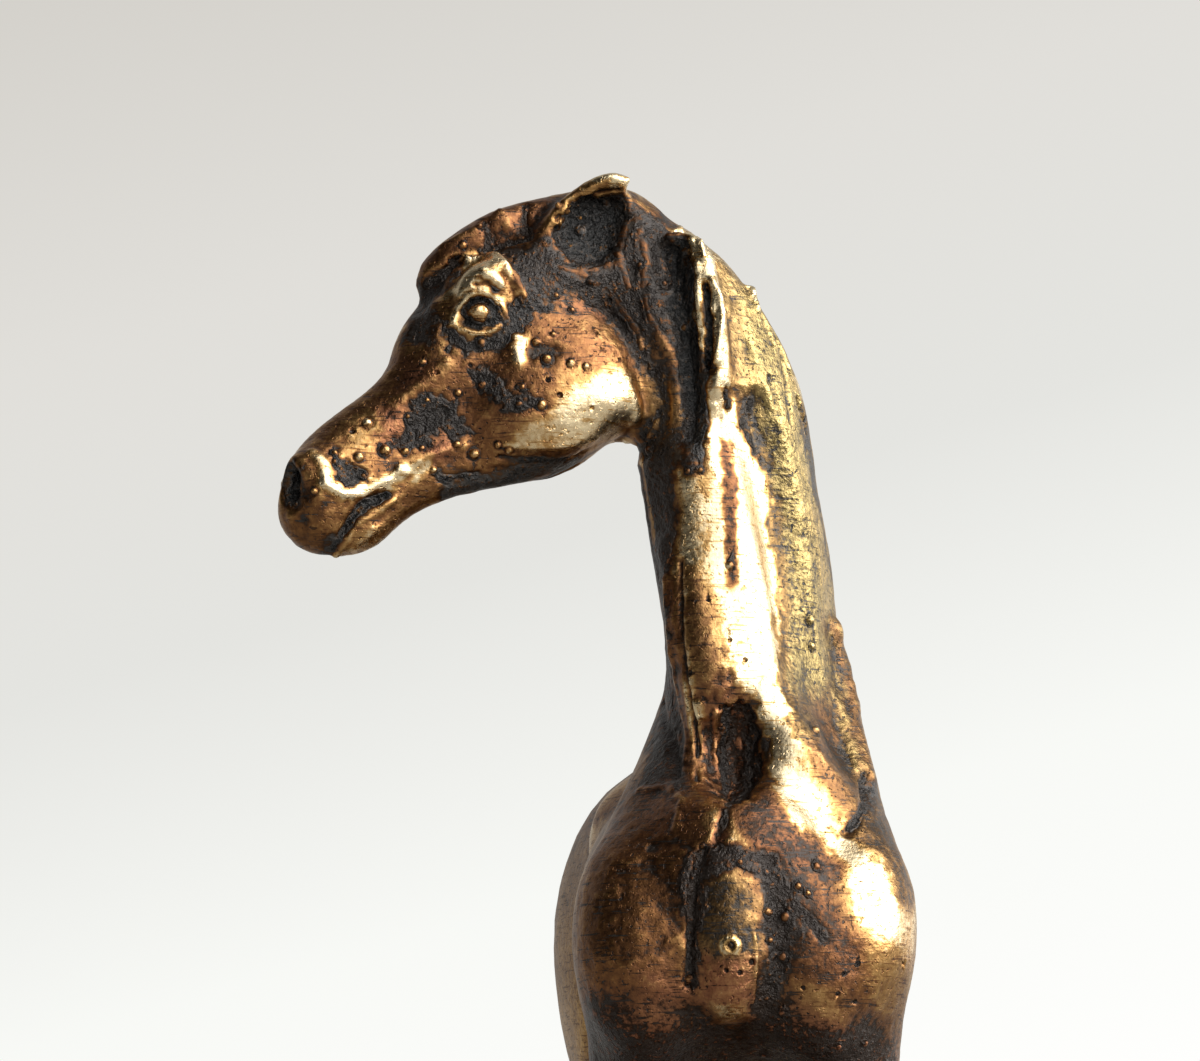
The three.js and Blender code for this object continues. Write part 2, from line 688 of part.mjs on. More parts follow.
function plinthGeometry() {
  const x = PLINTH_WIDTH / 2 - PLINTH_BEVEL;
  const y = PLINTH_LENGTH / 2 - PLINTH_BEVEL;
  const r = PLINTH_CORNER;
  const outline = new THREE.Shape();
  outline.moveTo(x, y - r);
  outline.absarc(x - r, y - r, r, 0, Math.PI / 2);
  outline.absarc(r - x, y - r, r, Math.PI / 2, Math.PI);
  outline.absarc(r - x, r - y, r, Math.PI, 1.5 * Math.PI);
  outline.absarc(x - r, r - y, r, 1.5 * Math.PI, 2 * Math.PI);
  return new THREE.ExtrudeGeometry(outline, {
    depth: PLINTH_HEIGHT - 2 * PLINTH_BEVEL,
    bevelThickness: PLINTH_BEVEL,
    bevelSize: PLINTH_BEVEL,
    bevelSegments: 1,
    curveSegments: 5,
  }).translate(0, 0, PLINTH_BEVEL);
}

function bronze(name, geometry, colour) {
  const material = new THREE.MeshStandardMaterial({ color: colour, roughness: 0.35, metalness: 1 });
  const mesh = new THREE.Mesh(geometry, material);
  mesh.name = name;
  return mesh;
}

const statuette = new THREE.Group();
statuette.add(bronze("horse", horseGeometry(), COLOURS.horse));
statuette.add(bronze("plinth", plinthGeometry(), COLOURS.plinth));
export default statuette;
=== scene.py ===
import bpy
import math
import numpy as np
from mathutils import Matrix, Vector, noise
from mathutils.bvhtree import BVHTree


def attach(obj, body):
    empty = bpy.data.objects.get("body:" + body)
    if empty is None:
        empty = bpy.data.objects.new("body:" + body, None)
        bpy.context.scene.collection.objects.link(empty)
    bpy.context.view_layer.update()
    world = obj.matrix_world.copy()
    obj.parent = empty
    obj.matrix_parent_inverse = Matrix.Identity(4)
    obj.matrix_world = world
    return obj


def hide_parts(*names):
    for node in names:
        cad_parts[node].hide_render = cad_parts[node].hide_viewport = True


# A small cast bronze horse on a low plinth. The casting is one piece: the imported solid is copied,
# softened, given its thin rims and locks, and then worked over like wax before it is cast.

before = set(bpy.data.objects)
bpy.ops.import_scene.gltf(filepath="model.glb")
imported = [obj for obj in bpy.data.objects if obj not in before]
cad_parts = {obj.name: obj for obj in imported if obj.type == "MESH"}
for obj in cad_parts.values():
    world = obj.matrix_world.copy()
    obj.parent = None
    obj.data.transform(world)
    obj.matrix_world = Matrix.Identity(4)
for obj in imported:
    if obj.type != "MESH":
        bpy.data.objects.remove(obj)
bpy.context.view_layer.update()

MM = 0.001

# Camera: close to the front, a little under the breast, and tilted up
EYE = np.array([-6.304, -210.189, 24.343])
TILT = math.radians(9.5)
FOCAL = 4370.0
PICTURE = (1200, 1061)
MIDDLE = (600.0, 530.5)
SENSOR_WIDTH = 36.0
RIGHTWARD = np.array([1.0, 0.0, 0.0])
LOOK = np.array([0.0, math.cos(TILT), math.sin(TILT)])
UPWARD = np.array([0.0, -math.sin(TILT), math.cos(TILT)])
GRAZING = (-0.05, 0.2)  # how squarely the skin looks at the camera where the marks on it fade in
TURNED_AWAY = -0.2
TURNED_TO_CAMERA = 0.05

# Head: the poll, and the way its left side looks
POLL = np.array([-5.9, -18.5, 69.4])
FACE_FORWARD = np.array([-0.703, -0.196, -0.684])
FACE_LEFT = np.array([0.1406, -0.9806, 0.1366])
HEAD_ZONES = [(1, 59), (6, 50)]  # how far before the poll, and how high
MIDLINE = -0.3
NECK_EDGE_PX = 660.0

# Where the parts of the casting lie, in millimetres
BREAST_Y = -9.0
ELBOW_Z = 31.5
WITHERS_Z = 46.0
TAIL_Y = 25.8
HOOF_Z = 8.0

# The thin curled rim of the left ear and the lock beside it: places and radii
EAR_RIM = [
    ((-9.3, -21.3, 68.9), 0.15), ((-8.6, -21.5, 69.8), 0.28), ((-7.86, -21.6, 70.6), 0.32),
    ((-6.97, -21.6, 71.15), 0.33), ((-5.9, -21.5, 71.75), 0.33), ((-4.95, -21.3, 71.7), 0.3),
]
NECK_LOCK = [
    ((-3.3, -20.7, 69.2), 0.3), ((-2.6, -20.9, 69.3), 0.4), ((-1.95, -21, 68.4), 0.42),
    ((-1.45, -21.2, 66.9), 0.42), ((-1.1, -21.3, 64.9), 0.42), ((-1.2, -21.3, 62.6), 0.4),
    ((-1.5, -21.1, 60.4), 0.3),
]


def make_camera():
    data = bpy.data.cameras.new("camera")
    data.sensor_width = SENSOR_WIDTH
    data.lens = FOCAL / PICTURE[0] * SENSOR_WIDTH
    data.clip_start = 0.01
    data.clip_end = 20.0
    camera = bpy.data.objects.new("camera", data)
    camera.location = Vector(EYE * MM)
    camera.rotation_euler = (math.pi / 2 + TILT, 0.0, 0.0)
    bpy.context.scene.collection.objects.link(camera)
    bpy.context.scene.camera = camera


def only(*pieces):
    bpy.ops.object.select_all(action="DESELECT")
    for piece in pieces:
        piece.select_set(True)
    bpy.context.view_layer.objects.active = pieces[-1]


def apply_modifier(piece, kind, **settings):
    only(piece)
    modifier = piece.modifiers.new(kind.lower(), kind)
    for name, value in settings.items():
        setattr(modifier, name, value)
    bpy.ops.object.modifier_apply(modifier=modifier.name)


def merged_copy(node, name):
    """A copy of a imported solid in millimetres, with its loose triangles joined up."""
    piece = bpy.data.objects.new(name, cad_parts[node].data.copy())
    bpy.context.scene.collection.objects.link(piece)
    piece.data.materials.clear()
    only(piece)
    piece.scale = (1 / MM,) * 3
    bpy.ops.object.transform_apply(location=False, rotation=False, scale=True)
    bpy.ops.object.mode_set(mode="EDIT")
    bpy.ops.mesh.select_all(action="SELECT")
    bpy.ops.mesh.remove_doubles(threshold=1e-4)
    bpy.ops.object.mode_set(mode="OBJECT")
    return piece


def rod(stations):
    """A tapered round rod through places, which closes at both ends."""
    data = bpy.data.curves.new("rod", "CURVE")
    data.dimensions = "3D"
    data.bevel_depth = 1.0
    data.bevel_resolution = 3
    data.use_fill_caps = True
    spline = data.splines.new("NURBS")
    spline.points.add(len(stations) - 1)
    for point, (place, radius) in zip(spline.points, stations):
        point.co = (*place, 1.0)
        point.radius = radius
    spline.order_u = 3
    spline.use_endpoint_u = True
    spline.resolution_u = 6
    piece = bpy.data.objects.new("rod", data)
    bpy.context.scene.collection.objects.link(piece)
    only(piece)
    bpy.ops.object.convert(target="MESH")
    return bpy.context.view_layer.objects.active


def fuse(piece, additions, voxel):
    only(*additions, piece)
    bpy.ops.object.join()
    apply_modifier(piece, "REMESH", mode="VOXEL", voxel_size=voxel)


def on_faces(piece, chosen, tool, **settings):
    """Uses a mesh tool on the chosen faces only."""
    only(piece)
    bpy.ops.object.mode_set(mode="EDIT")
    bpy.ops.mesh.select_mode(type="FACE")
    bpy.ops.mesh.select_all(action="DESELECT")
    bpy.ops.object.mode_set(mode="OBJECT")
    piece.data.polygons.foreach_set("select", chosen.astype(bool))
    bpy.ops.object.mode_set(mode="EDIT")
    tool(**settings)
    bpy.ops.object.mode_set(mode="OBJECT")


def face_values(piece, name):
    values = np.empty(len(piece.data.polygons) * 3)
    piece.data.polygons.foreach_get(name, values)
    return values.reshape(-1, 3)


def unit(ways):
    return ways / np.linalg.norm(ways, axis=1)[:, None]


def face_facing(piece):
    """How squarely each face looks at the camera, from -1 to 1."""
    way = unit(EYE - face_values(piece, "center"))
    return np.einsum("ij,ij->i", face_values(piece, "normal"), way)


def near_front(places):
    return (places[:, 1] < BREAST_Y) & (places[:, 2] > ELBOW_Z)


def tail_or_hoof(places):
    return (places[:, 1] > TAIL_Y) | (places[:, 2] < HOOF_Z)


def smoothstep(low, high, value):
    t = np.clip((value - low) / (high - low), 0.0, 1.0)
    return t * t * (3.0 - 2.0 * t)


def mottle(places):
    return np.array([noise.noise(Vector(place)) for place in places])


def gap_to(points, a, b):
    """Each point's distance to the straight line from a to b."""
    along = b - a
    t = np.clip((points - a) @ along / max(along @ along, 1e-12), 0.0, 1.0)
    return np.linalg.norm(points - a - t[:, None] * along, axis=1)


def ray(px, py):
    way = LOOK + (px - MIDDLE[0]) / FOCAL * RIGHTWARD + (MIDDLE[1] - py) / FOCAL * UPWARD
    return way / np.linalg.norm(way)


def on_picture(places):
    offset = places - EYE
    depth = offset @ LOOK
    across = MIDDLE[0] + FOCAL * (offset @ RIGHTWARD) / depth
    down = MIDDLE[1] - FOCAL * (offset @ UPWARD) / depth
    return np.stack([across, down], axis=1)


class Clay:
    """The points of a mesh, for work with a modelling tool."""

    def __init__(self, piece):
        self.piece = piece
        self.read()

    def read(self):
        mesh = self.piece.data
        count = len(mesh.vertices)
        self.places = np.empty(count * 3)
        mesh.vertices.foreach_get("co", self.places)
        self.places = self.places.reshape(-1, 3)
        self.uneven = mottle(self.places * 1.7)
        sway = np.array([noise.noise_vector(Vector(p * 0.8))[:2] for p in self.places])
        ripple = np.array([noise.noise_vector(Vector(p * 2.9))[:2] for p in self.places])
        self.sway = 9.0 * sway + 7.0 * ripple
        edges = np.empty(len(mesh.edges) * 2, dtype=np.int64)
        mesh.edges.foreach_get("vertices", edges)
        self.ends = edges.reshape(-1, 2).T
        self.number = sum(np.bincount(end, minlength=count) for end in self.ends)
        self.look_again()

    def look_again(self):
        """Finds the normals and the picture places of the points as they are now."""
        mesh = self.piece.data
        mesh.vertices.foreach_set("co", self.places.ravel())
        mesh.update()
        self.normals = np.empty(len(mesh.vertices) * 3)
        mesh.vertex_normals.foreach_get("vector", self.normals)
        self.normals = self.normals.reshape(-1, 3)
        faces = [tuple(face.vertices) for face in mesh.polygons]
        self.tree = BVHTree.FromPolygons(self.places.tolist(), faces)
        # The head's far side takes the marks of the near side, turned over
        away = (self.places - POLL) @ FACE_LEFT
        ahead = (self.places - POLL) @ FACE_FORWARD
        height = self.places[:, 2]
        head = np.any([(ahead > before) & (height > over) for before, over in HEAD_ZONES], axis=0)
        far = head & (away < MIDLINE) & (on_picture(self.places)[:, 0] < NECK_EDGE_PX)
        seen_from = self.places - 2.0 * (away * far)[:, None] * FACE_LEFT
        looks = self.normals - 2.0 * (self.normals @ FACE_LEFT * far)[:, None] * FACE_LEFT
        self.picture = on_picture(seen_from)
        in_front = (self.places[:, 1] < BREAST_Y) | (height > WITHERS_Z)
        facing = np.einsum("ij,ij->i", looks, unit(EYE - seen_from))
        self.seen = smoothstep(*GRAZING, facing) * in_front

    def evened(self, pace, rounds):
        """The places after each is drawn towards the mean of its neighbours, at its own pace."""
        a, b = self.ends
        count = len(self.places)
        even = self.places.copy()
        for _ in range(rounds):
            for k in range(3):
                mean = np.bincount(a, even[b, k], count) + np.bincount(b, even[a, k], count)
                even[:, k] += pace * (mean / self.number - even[:, k])
        return even

    def polish(self, outline, soft, rounds):
        """Evens out the skin within an outline on the picture."""
        self.places = self.evened(0.6 * self.inside(outline, soft), rounds)
        self.look_again()

    def relief(self, rounds):
        """How far each point stands over the skin once that is evened out, in millimetres."""
        a, b = self.ends
        count = len(self.places)
        lengths = np.linalg.norm(self.places[a] - self.places[b], axis=1)
        spacing = np.bincount(a, lengths, count) + np.bincount(b, lengths, count)
        even = self.evened(np.clip((0.12 * self.number / spacing) ** 2, 0.0, 1.0), rounds)
        return np.einsum("ij,ij->i", self.places - even, self.normals)

    def place_at(self, px, py):
        """The place on the surface that shows at a place of the picture, if there is one."""
        place = self.tree.ray_cast(Vector(EYE), Vector(ray(px, py)))[0]
        return None if place is None else np.array(place)

    def line(self, marks):
        return [place for place in (self.place_at(*mark) for mark in marks) if place is not None]

    def nearest(self, places):
        return [np.array(self.tree.find_nearest(Vector(place))[0]) for place in places]

    def mirrored(self, places):
        """The same places on the head's other side."""
        return self.nearest([place - 2.0 * ((place - POLL) @ FACE_LEFT) * FACE_LEFT for place in places])

    def distance(self, places):
        """Each point's distance to a line through places, or to the one place."""
        ends = zip(places, places[1:] or places)
        return np.min([gap_to(self.places, a, b) for a, b in ends], axis=0)

    def work(self, places, width, height, crisp=0.0):
        """Raises or sinks the skin along a line through places, by height at its middle."""
        if not places:
            return
        ragged = self.uneven * min(1.0, (0.5 / width) ** 2)
        share = self.distance(places) / (width * (1.0 + 0.55 * ragged))
        profile = (1.0 - smoothstep(crisp, 1.0, share)) * (1.0 - 0.7 * ragged)
        self.places += self.normals * (height * profile)[:, None]

    def strokes(self, rows):
        for marks, *shape in rows:
            self.work(self.line(marks), *shape)

    def both(self, rows):
        """The same strokes on both sides of the head."""
        for marks, *shape in rows:
            places = self.line(marks)
            self.work(places, *shape)
            self.work(self.mirrored(places), *shape)

    def inside(self, outline, soft):
        """How far each visible point is within an outline on the picture: 0 out, 1 in."""
        outline = np.array(outline, dtype=float)
        wandered = self.picture + self.sway * min(1.0, soft / 5.0)
        low = outline.min(axis=0) - soft
        high = outline.max(axis=0) + soft
        chosen = np.flatnonzero(((wandered > low) & (wandered < high)).all(axis=1) & (self.seen > 0.0))
        q = wandered[chosen]
        gap = np.full(len(chosen), np.inf)
        within = np.zeros(len(chosen), dtype=bool)
        for a, b in zip(outline, np.roll(outline, -1, axis=0)):
            gap = np.minimum(gap, gap_to(q, a, b))
            crosses = (a[1] > q[:, 1]) != (b[1] > q[:, 1])
            with np.errstate(divide="ignore", invalid="ignore"):
                at = a[0] + (q[:, 1] - a[1]) / (b[1] - a[1]) * (b[0] - a[0])
            within ^= crosses & (q[:, 0] < at)
        mask = np.zeros(len(wandered))
        mask[chosen] = smoothstep(-soft, soft, np.where(within, gap, -gap)) * self.seen[chosen]
        return mask

    def near(self, marks, width):
        """How near each visible point is to a line on the picture: 1 on it, 0 at width."""
        line = np.array(marks, dtype=float)
        gap = np.min([gap_to(self.picture, a, b) for a, b in zip(line[:-1], line[1:])], axis=0)
        return (1.0 - smoothstep(0.0, width, gap)) * self.seen

    def roughen(self, size, height):
        """Lumps of a size in millimetres, as a cast skin has them."""
        self.places += self.normals * (height * mottle(self.places / size))[:, None]

    def sink(self, outline, soft, height):
        self.places += self.normals * (height * self.inside(outline, soft))[:, None]


def smooth_points(piece, rounds):
    apply_modifier(piece, "SMOOTH", factor=0.5, iterations=rounds)


def make_horse():
    horse = merged_copy("horse", "bronze_horse")
    apply_modifier(horse, "SUBSURF", levels=2, render_levels=2)
    fuse(horse, [rod(EAR_RIM), rod(NECK_LOCK)], voxel=0.25)
    smooth_points(horse, 3)

    # The skin that the camera sees gets small triangles, and the far side and the body large ones
    centres = face_values(horse, "center")
    thin = bpy.ops.mesh.decimate
    on_faces(horse, ~near_front(centres) & ~tail_or_hoof(centres), thin, ratio=0.13)
    on_faces(horse, tail_or_hoof(face_values(horse, "center")), thin, ratio=0.4)
    front = near_front(face_values(horse, "center"))
    on_faces(horse, front & (face_facing(horse) < TURNED_AWAY), thin, ratio=0.35)
    front = near_front(face_values(horse, "center"))
    split = bpy.ops.mesh.subdivide
    on_faces(horse, front & (face_facing(horse) > TURNED_TO_CAMERA), split, number_cuts=1, smoothness=0.0)
    smooth_points(horse, 2)

    clay = Clay(horse)
    work_head(clay)
    work_poll(clay)
    work_neck(clay)
    work_breast(clay)
    work_body(clay)
    apply_modifier(horse, "DECIMATE", ratio=0.8)
    clay.read()
    paint(clay, add_beads(clay))
    return horse


# Strokes: each row has a line of picture places, the width and the height in millimetres, and how
# crisp the stroke's edge is. The strokes of the head are made on both of its sides.
BROW = [
    ([(446, 296), (453, 276), (466, 260), (484, 253), (502, 262), (516, 282), (524, 298)], 0.55, 0.22),
    ([(484, 270), (500, 284)], 0.5, 0.14),
    ([(474, 284), (486, 284), (499, 289)], 0.15, -0.16),
    ([(484, 274), (496, 279)], 0.13, -0.12),
    ([(502, 272), (512, 286), (516, 300)], 0.15, -0.12),
    ([(415, 286), (430, 281), (446, 273), (460, 262)], 0.45, -0.3),
    ([(424, 300), (420, 320), (416, 338)], 0.7, -0.18),
]
EYE_HOLLOW = [([(478, 312)], 1.35, -0.3, 0.3)]
EYEBALL = [([(479, 312)], 0.62, 0.42, 0.1)]
LIDS = [
    ([(452, 325), (458, 308), (470, 295), (486, 293), (500, 303), (510, 320)], 0.24, 0.13, 0.2),
    ([(458, 327), (470, 333), (486, 334), (500, 326)], 0.2, 0.1, 0.2),
    ([(463, 312), (470, 302), (483, 299), (495, 308)], 0.15, -0.14),
    ([(465, 320), (478, 327), (492, 322)], 0.15, -0.12),
]
UNDER_EYE = [(436, 322), (448, 333), (470, 340), (492, 337), (508, 326), (508, 300), (528, 296), (548, 302),
             (532, 322), (515, 336), (492, 348), (460, 354), (443, 352)]
NOSTRIL = [
    ([(289, 470), (290, 492)], 0.6, -0.55, 0.2),
    ([(296, 505), (304, 522)], 0.5, -0.14),
]
WING_AND_MOUTH = [
    ([(312, 452), (323, 463), (325, 482), (318, 500)], 0.42, 0.13),
    ([(325, 484), (342, 494), (362, 493), (384, 482), (402, 472)], 0.36, 0.16),
    ([(386, 496), (374, 500), (362, 507)], 0.32, -0.26, 0.25),
    ([(366, 504), (352, 518), (342, 534), (326, 556)], 0.24, -0.26, 0.1),
    ([(388, 497), (376, 501)], 0.35, -0.12),
]
LOWER_LIP_AND_JAW = [
    ([(392, 500), (378, 512), (360, 522), (348, 538), (336, 554)], 0.28, 0.12),
    ([(372, 528), (352, 548)], 0.6, 0.1),
    ([(505, 445), (530, 447), (565, 445), (596, 438)], 0.3, 0.1),
]
FACE_BONES = [
    ([(500, 458), (535, 460), (570, 458), (608, 452), (642, 438), (658, 412)], 0.26, -0.16),
    ([(440, 480), (470, 476), (500, 470)], 0.35, -0.1),
    ([(604, 398), (630, 412)], 1.1, 0.26),
    ([(626, 384), (633, 414)], 0.75, 0.3),
    ([(516, 340), (517, 362)], 0.7, 0.14),
    ([(530, 352), (552, 348)], 0.6, -0.14),
    ([(656, 372), (664, 400), (660, 430), (645, 450)], 0.6, -0.2),
    ([(448, 365), (420, 385), (395, 405)], 0.6, 0.1),
    ([(440, 412), (415, 428), (398, 440)], 0.75, -0.22),
    ([(400, 468), (430, 455), (462, 446)], 0.5, 0.12),
    ([(348, 466), (358, 474)], 0.5, -0.12),
]
# Shallow hollows: an outline on the picture, the softness of its edge, and the height
FACE_HOLLOWS = [
    ([(426, 398), (444, 391), (458, 396), (466, 416), (474, 434), (456, 440), (440, 433), (424, 441),
     (398, 446), (384, 441), (402, 430), (408, 416), (404, 406)], 7, -0.06),
    ([(328, 446), (338, 455), (356, 460), (368, 470), (370, 480), (354, 487), (336, 482), (330, 466)], 5,
     -0.07),
    ([(472, 368), (492, 372), (512, 386), (532, 400), (545, 402), (546, 412), (524, 414), (502, 402),
     (480, 396), (474, 384)], 7, -0.06),
    ([(527, 342), (550, 344), (566, 352), (566, 366), (545, 370), (530, 360)], 7, -0.04),
]
CHEEK = [(545, 385), (600, 362), (630, 376), (634, 400), (620, 424), (585, 438), (540, 436)]


def work_head(clay):
    """The brow, eyes, nostrils, lips and bones of the head."""
    for strokes in (BROW, EYE_HOLLOW, EYEBALL, LIDS):
        clay.both(strokes)
        clay.look_again()
    clay.sink(UNDER_EYE, 8, -0.13)
    for strokes in (NOSTRIL, WING_AND_MOUTH, LOWER_LIP_AND_JAW, FACE_BONES):
        clay.both(strokes)
        clay.look_again()
    for hollow in FACE_HOLLOWS:
        clay.sink(*hollow)
    clay.look_again()
    clay.polish(CHEEK, 10, 30)


FORELOCK = [
    ([(486, 224), (490, 240), (486, 250)], 0.4, -0.16),
    ([(526, 206), (524, 222), (528, 238)], 0.4, -0.14),
    ([(500, 212), (508, 228)], 0.5, 0.1),
    ([(440, 248), (462, 236), (478, 228)], 0.5, 0.1),
    ([(452, 262), (480, 250), (505, 244), (524, 240)], 0.3, -0.22),
]
EAR_CUP = [(552, 228), (570, 211), (600, 200), (622, 204), (627, 220), (620, 238), (608, 254), (590, 264),
           (572, 260), (556, 246)]
EAR_AND_LOCKS = [
    ([(580, 231)], 0.42, 0.3, 0.2),
    ([(556, 218), (576, 204), (600, 193), (618, 190)], 0.22, -0.16),
    ([(560, 268), (590, 279), (613, 297), (635, 328), (642, 348)], 0.35, 0.13),
    ([(640, 232), (646, 262), (640, 290), (652, 322), (668, 352)], 0.4, 0.12),
    ([(612, 236), (620, 262), (628, 288)], 0.35, 0.1),
    ([(628, 250), (634, 275), (640, 305)], 0.3, -0.1),
    ([(600, 305), (620, 322), (632, 340)], 0.35, -0.1),
    ([(655, 255), (668, 300), (680, 350), (684, 400), (682, 440)], 0.5, -0.1),
]


def work_poll(clay):
    """The forelock, the ears and the rough skin behind the cheek."""
    clay.both(FORELOCK)
    clay.sink(EAR_CUP, 7, -0.55)
    clay.look_again()
    clay.both(EAR_AND_LOCKS)
    clay.look_again()


LOCK_HOLLOWS = [
    ([(672, 255), (680, 300), (688, 350), (692, 400), (690, 440)], 0.6, -0.35),
    ([(682, 240), (686, 255)], 0.42, -0.35, 0.2),
    ([(705, 284), (708, 320), (708, 350), (706, 366)], 0.26, -0.4, 0.3),
]
LOCK_RIMS = [
    ([(668, 236), (680, 228), (692, 229), (700, 243), (704, 258)], 0.25, 0.16),
    ([(697, 264), (698, 300), (700, 340), (704, 368)], 0.2, 0.16),
    ([(712, 280), (722, 306), (720, 334), (716, 362)], 0.22, 0.2),
]
# The flat side of the neck, from the ridge along the windpipe to the groove by the mane
NECK_PLANES = [
    ([(690, 470), (694, 540), (704, 610), (716, 660), (726, 700)], 1.9, 0.6),
    ([(750, 420), (766, 480), (778, 540), (788, 610), (800, 690)], 1.9, -0.8),
]
NECK_BAND = [(706, 400), (742, 400), (768, 470), (784, 540), (794, 640), (806, 720), (776, 730), (758, 704),
             (735, 668), (712, 660), (700, 560), (700, 480)]
BAND_SLOT = [
    ([(718, 376), (712, 410), (708, 440)], 0.45, 0.15),
    ([(726, 388), (728, 412)], 0.16, -0.32),
    ([(722, 420), (722, 450), (728, 500), (732, 545), (732, 586)], 0.4, -0.07),
    ([(700, 450), (706, 478), (714, 498)], 0.35, -0.08),
]
# Pitted groove behind the band, and the edge of the mane
MANE_EDGE = [
    ([(757, 400), (768, 440), (782, 490), (795, 550), (804, 610), (810, 670), (812, 735)], 0.8, -0.14, 0.3),
    ([(735, 300), (745, 350), (757, 400)], 0.6, -0.12),
    ([(806, 420), (816, 460), (824, 510), (831, 560), (838, 600)], 0.22, -0.34),
    ([(798, 400), (806, 430)], 0.24, -0.25),
    ([(776, 318), (796, 350), (806, 385)], 0.5, 0.34),
    ([(760, 300), (776, 336), (786, 380), (790, 420)], 0.3, -0.12),
    ([(806, 560), (814, 620), (824, 680)], 0.5, 0.12),
    ([(762, 316), (772, 344)], 0.22, -0.2),
    ([(780, 346), (790, 372)], 0.2, -0.2),
    ([(770, 376), (778, 412)], 0.3, -0.14),
    ([(812, 440), (822, 500)], 0.2, 0.14),
]
NECK_SIDE = [(684, 470), (790, 440), (826, 560), (846, 700), (800, 740), (768, 740), (700, 690)]
MANE_TIPS = [
    ([(736, 262), (748, 290), (756, 310)], 0.35, 0.24),
    ([(796, 340), (808, 372)], 0.3, 0.2),
]
WINDPIPE = [
    ([(669, 580), (673, 640), (680, 700), (686, 760)], 0.35, 0.12),
    ([(680, 560), (681, 620), (688, 690), (696, 750), (697, 780)], 0.2, -0.2),
    ([(664, 545), (669, 580), (673, 620), (674, 650)], 1, 0.2),
    ([(662, 700), (672, 740), (676, 775)], 0.5, -0.2),
]
WINDPIPE_RINGS = [([(664 + n, 585 + 12 * n), (678 + n, 586 + 12 * n)], 0.1, -0.05) for n in range(15)]


def work_neck(clay):
    """The lock on the left side, the muscles, the windpipe and the mane."""
    clay.strokes(LOCK_HOLLOWS)
    clay.look_again()
    clay.strokes(LOCK_RIMS)
    clay.strokes(NECK_PLANES)
    clay.look_again()
    clay.polish(NECK_BAND, 12, 160)
    clay.strokes(BAND_SLOT)
    clay.strokes(MANE_EDGE)
    clay.look_again()
    clay.polish(NECK_SIDE, 12, 25)
    clay.strokes(MANE_TIPS)
    clay.strokes(WINDPIPE)
    clay.strokes(WINDPIPE_RINGS)
    clay.look_again()


NECK_ROOT = [
    ([(700, 690), (730, 680), (752, 700), (760, 750), (752, 790), (716, 800), (702, 760)], 12, -0.2),
    ([(726, 706), (736, 696), (747, 708), (755, 735), (758, 760), (754, 781), (742, 796), (732, 806),
     (722, 800), (724, 760), (725, 730)], 5, -0.26),
]
NECK_ROOT_FOLDS = [
    ([(716, 712), (715, 740), (716, 764)], 0.22, 0.16),
    ([(736, 700), (738, 740), (742, 792)], 0.2, 0.1),
    ([(726, 706), (726, 750), (724, 792)], 0.16, -0.14),
    ([(748, 706), (756, 750), (752, 786)], 0.18, -0.12),
]
NECK_ROOT_NICKS = [([(712, 714 + 7 * n), (722, 715 + 7 * n)], 0.1, -0.07) for n in range(7)]
COLLAR = [
    ([(735, 800), (722, 822), (716, 845)], 0.5, -0.16),
    ([(650, 848), (675, 842), (700, 850), (735, 852), (770, 858)], 0.5, -0.1),
]
BREASTBONE = [
    ([(704, 850), (694, 885), (691, 930), (689, 985)], 0.34, -0.2),
    ([(770, 862), (776, 900), (780, 940), (776, 975), (762, 1005)], 0.8, -0.18, 0.1),
    ([(795, 905), (822, 935)], 0.4, -0.12),
]
PLATE = [(702, 884), (718, 878), (740, 880), (754, 890), (756, 930), (752, 975), (704, 980), (700, 930)]
PLATE_MIDDLE = [(706, 886), (740, 884), (752, 892), (752, 970), (706, 970)]
PLATE_EDGE = [([(755, 935), (756, 970), (753, 1002)], 0.16, 0.1)]
LEFT_BREAST = [(618, 866), (650, 862), (676, 872), (680, 930), (664, 956), (620, 958), (610, 910)]
SHOULDERS = [
    ([(640, 790), (668, 786), (682, 800), (676, 828)], 0.35, 0.1),
    ([(862, 775), (864, 800), (856, 822), (846, 832)], 0.36, -0.22),
    ([(833, 630), (842, 670), (850, 705)], 1, 0.45),
    ([(852, 720), (860, 750), (867, 775)], 1.1, 0.35),
    ([(838, 700), (846, 740), (856, 770)], 0.5, 0.08),
    ([(600, 1005), (640, 1000), (690, 1010), (720, 1035)], 1, -0.08),
    ([(762, 990), (800, 1003), (850, 1010), (880, 1030)], 1, -0.08),
]


def work_breast(clay):
    """The hollow at the root of the neck, the breastbone and its grooves, and the shoulders."""
    for hollow in NECK_ROOT:
        clay.sink(*hollow)
    clay.look_again()
    clay.strokes(NECK_ROOT_FOLDS)
    clay.strokes(NECK_ROOT_NICKS)
    clay.strokes(COLLAR)
    clay.look_again()
    clay.strokes(BREASTBONE)
    clay.look_again()
    clay.sink(PLATE, 7, 0.06)
    clay.look_again()
    clay.polish(PLATE_MIDDLE, 7, 60)
    clay.strokes(PLATE_EDGE)
    clay.sink(LEFT_BREAST, 8, -0.1)
    clay.strokes(SHOULDERS)
    clay.look_again()


# The tail's middle line, with its half width and half depth
TAIL = [
    ((-0.4, 25.2, 46.2), 1.3, 1.4), ((-0.3, 27.4, 42.8), 1.8, 1.6), ((0, 28.6, 37), 2.3, 1.9),
    ((0.4, 29, 30.5), 2.5, 1.9), ((0.5, 28.8, 24), 2.1, 1.6), ((0.2, 28.6, 18), 1.5, 1.25),
    ((-0.3, 28.8, 14.6), 0.9, 0.9),
]
STRANDS = 13

# The ridge over each hoof and the groove under it: height, half width and swell
HOOF_RINGS = [(7.3, 0.45, 0.12), (6.4, 0.4, -0.1)]
HOOF_ZONE = (3.6, 9.0)

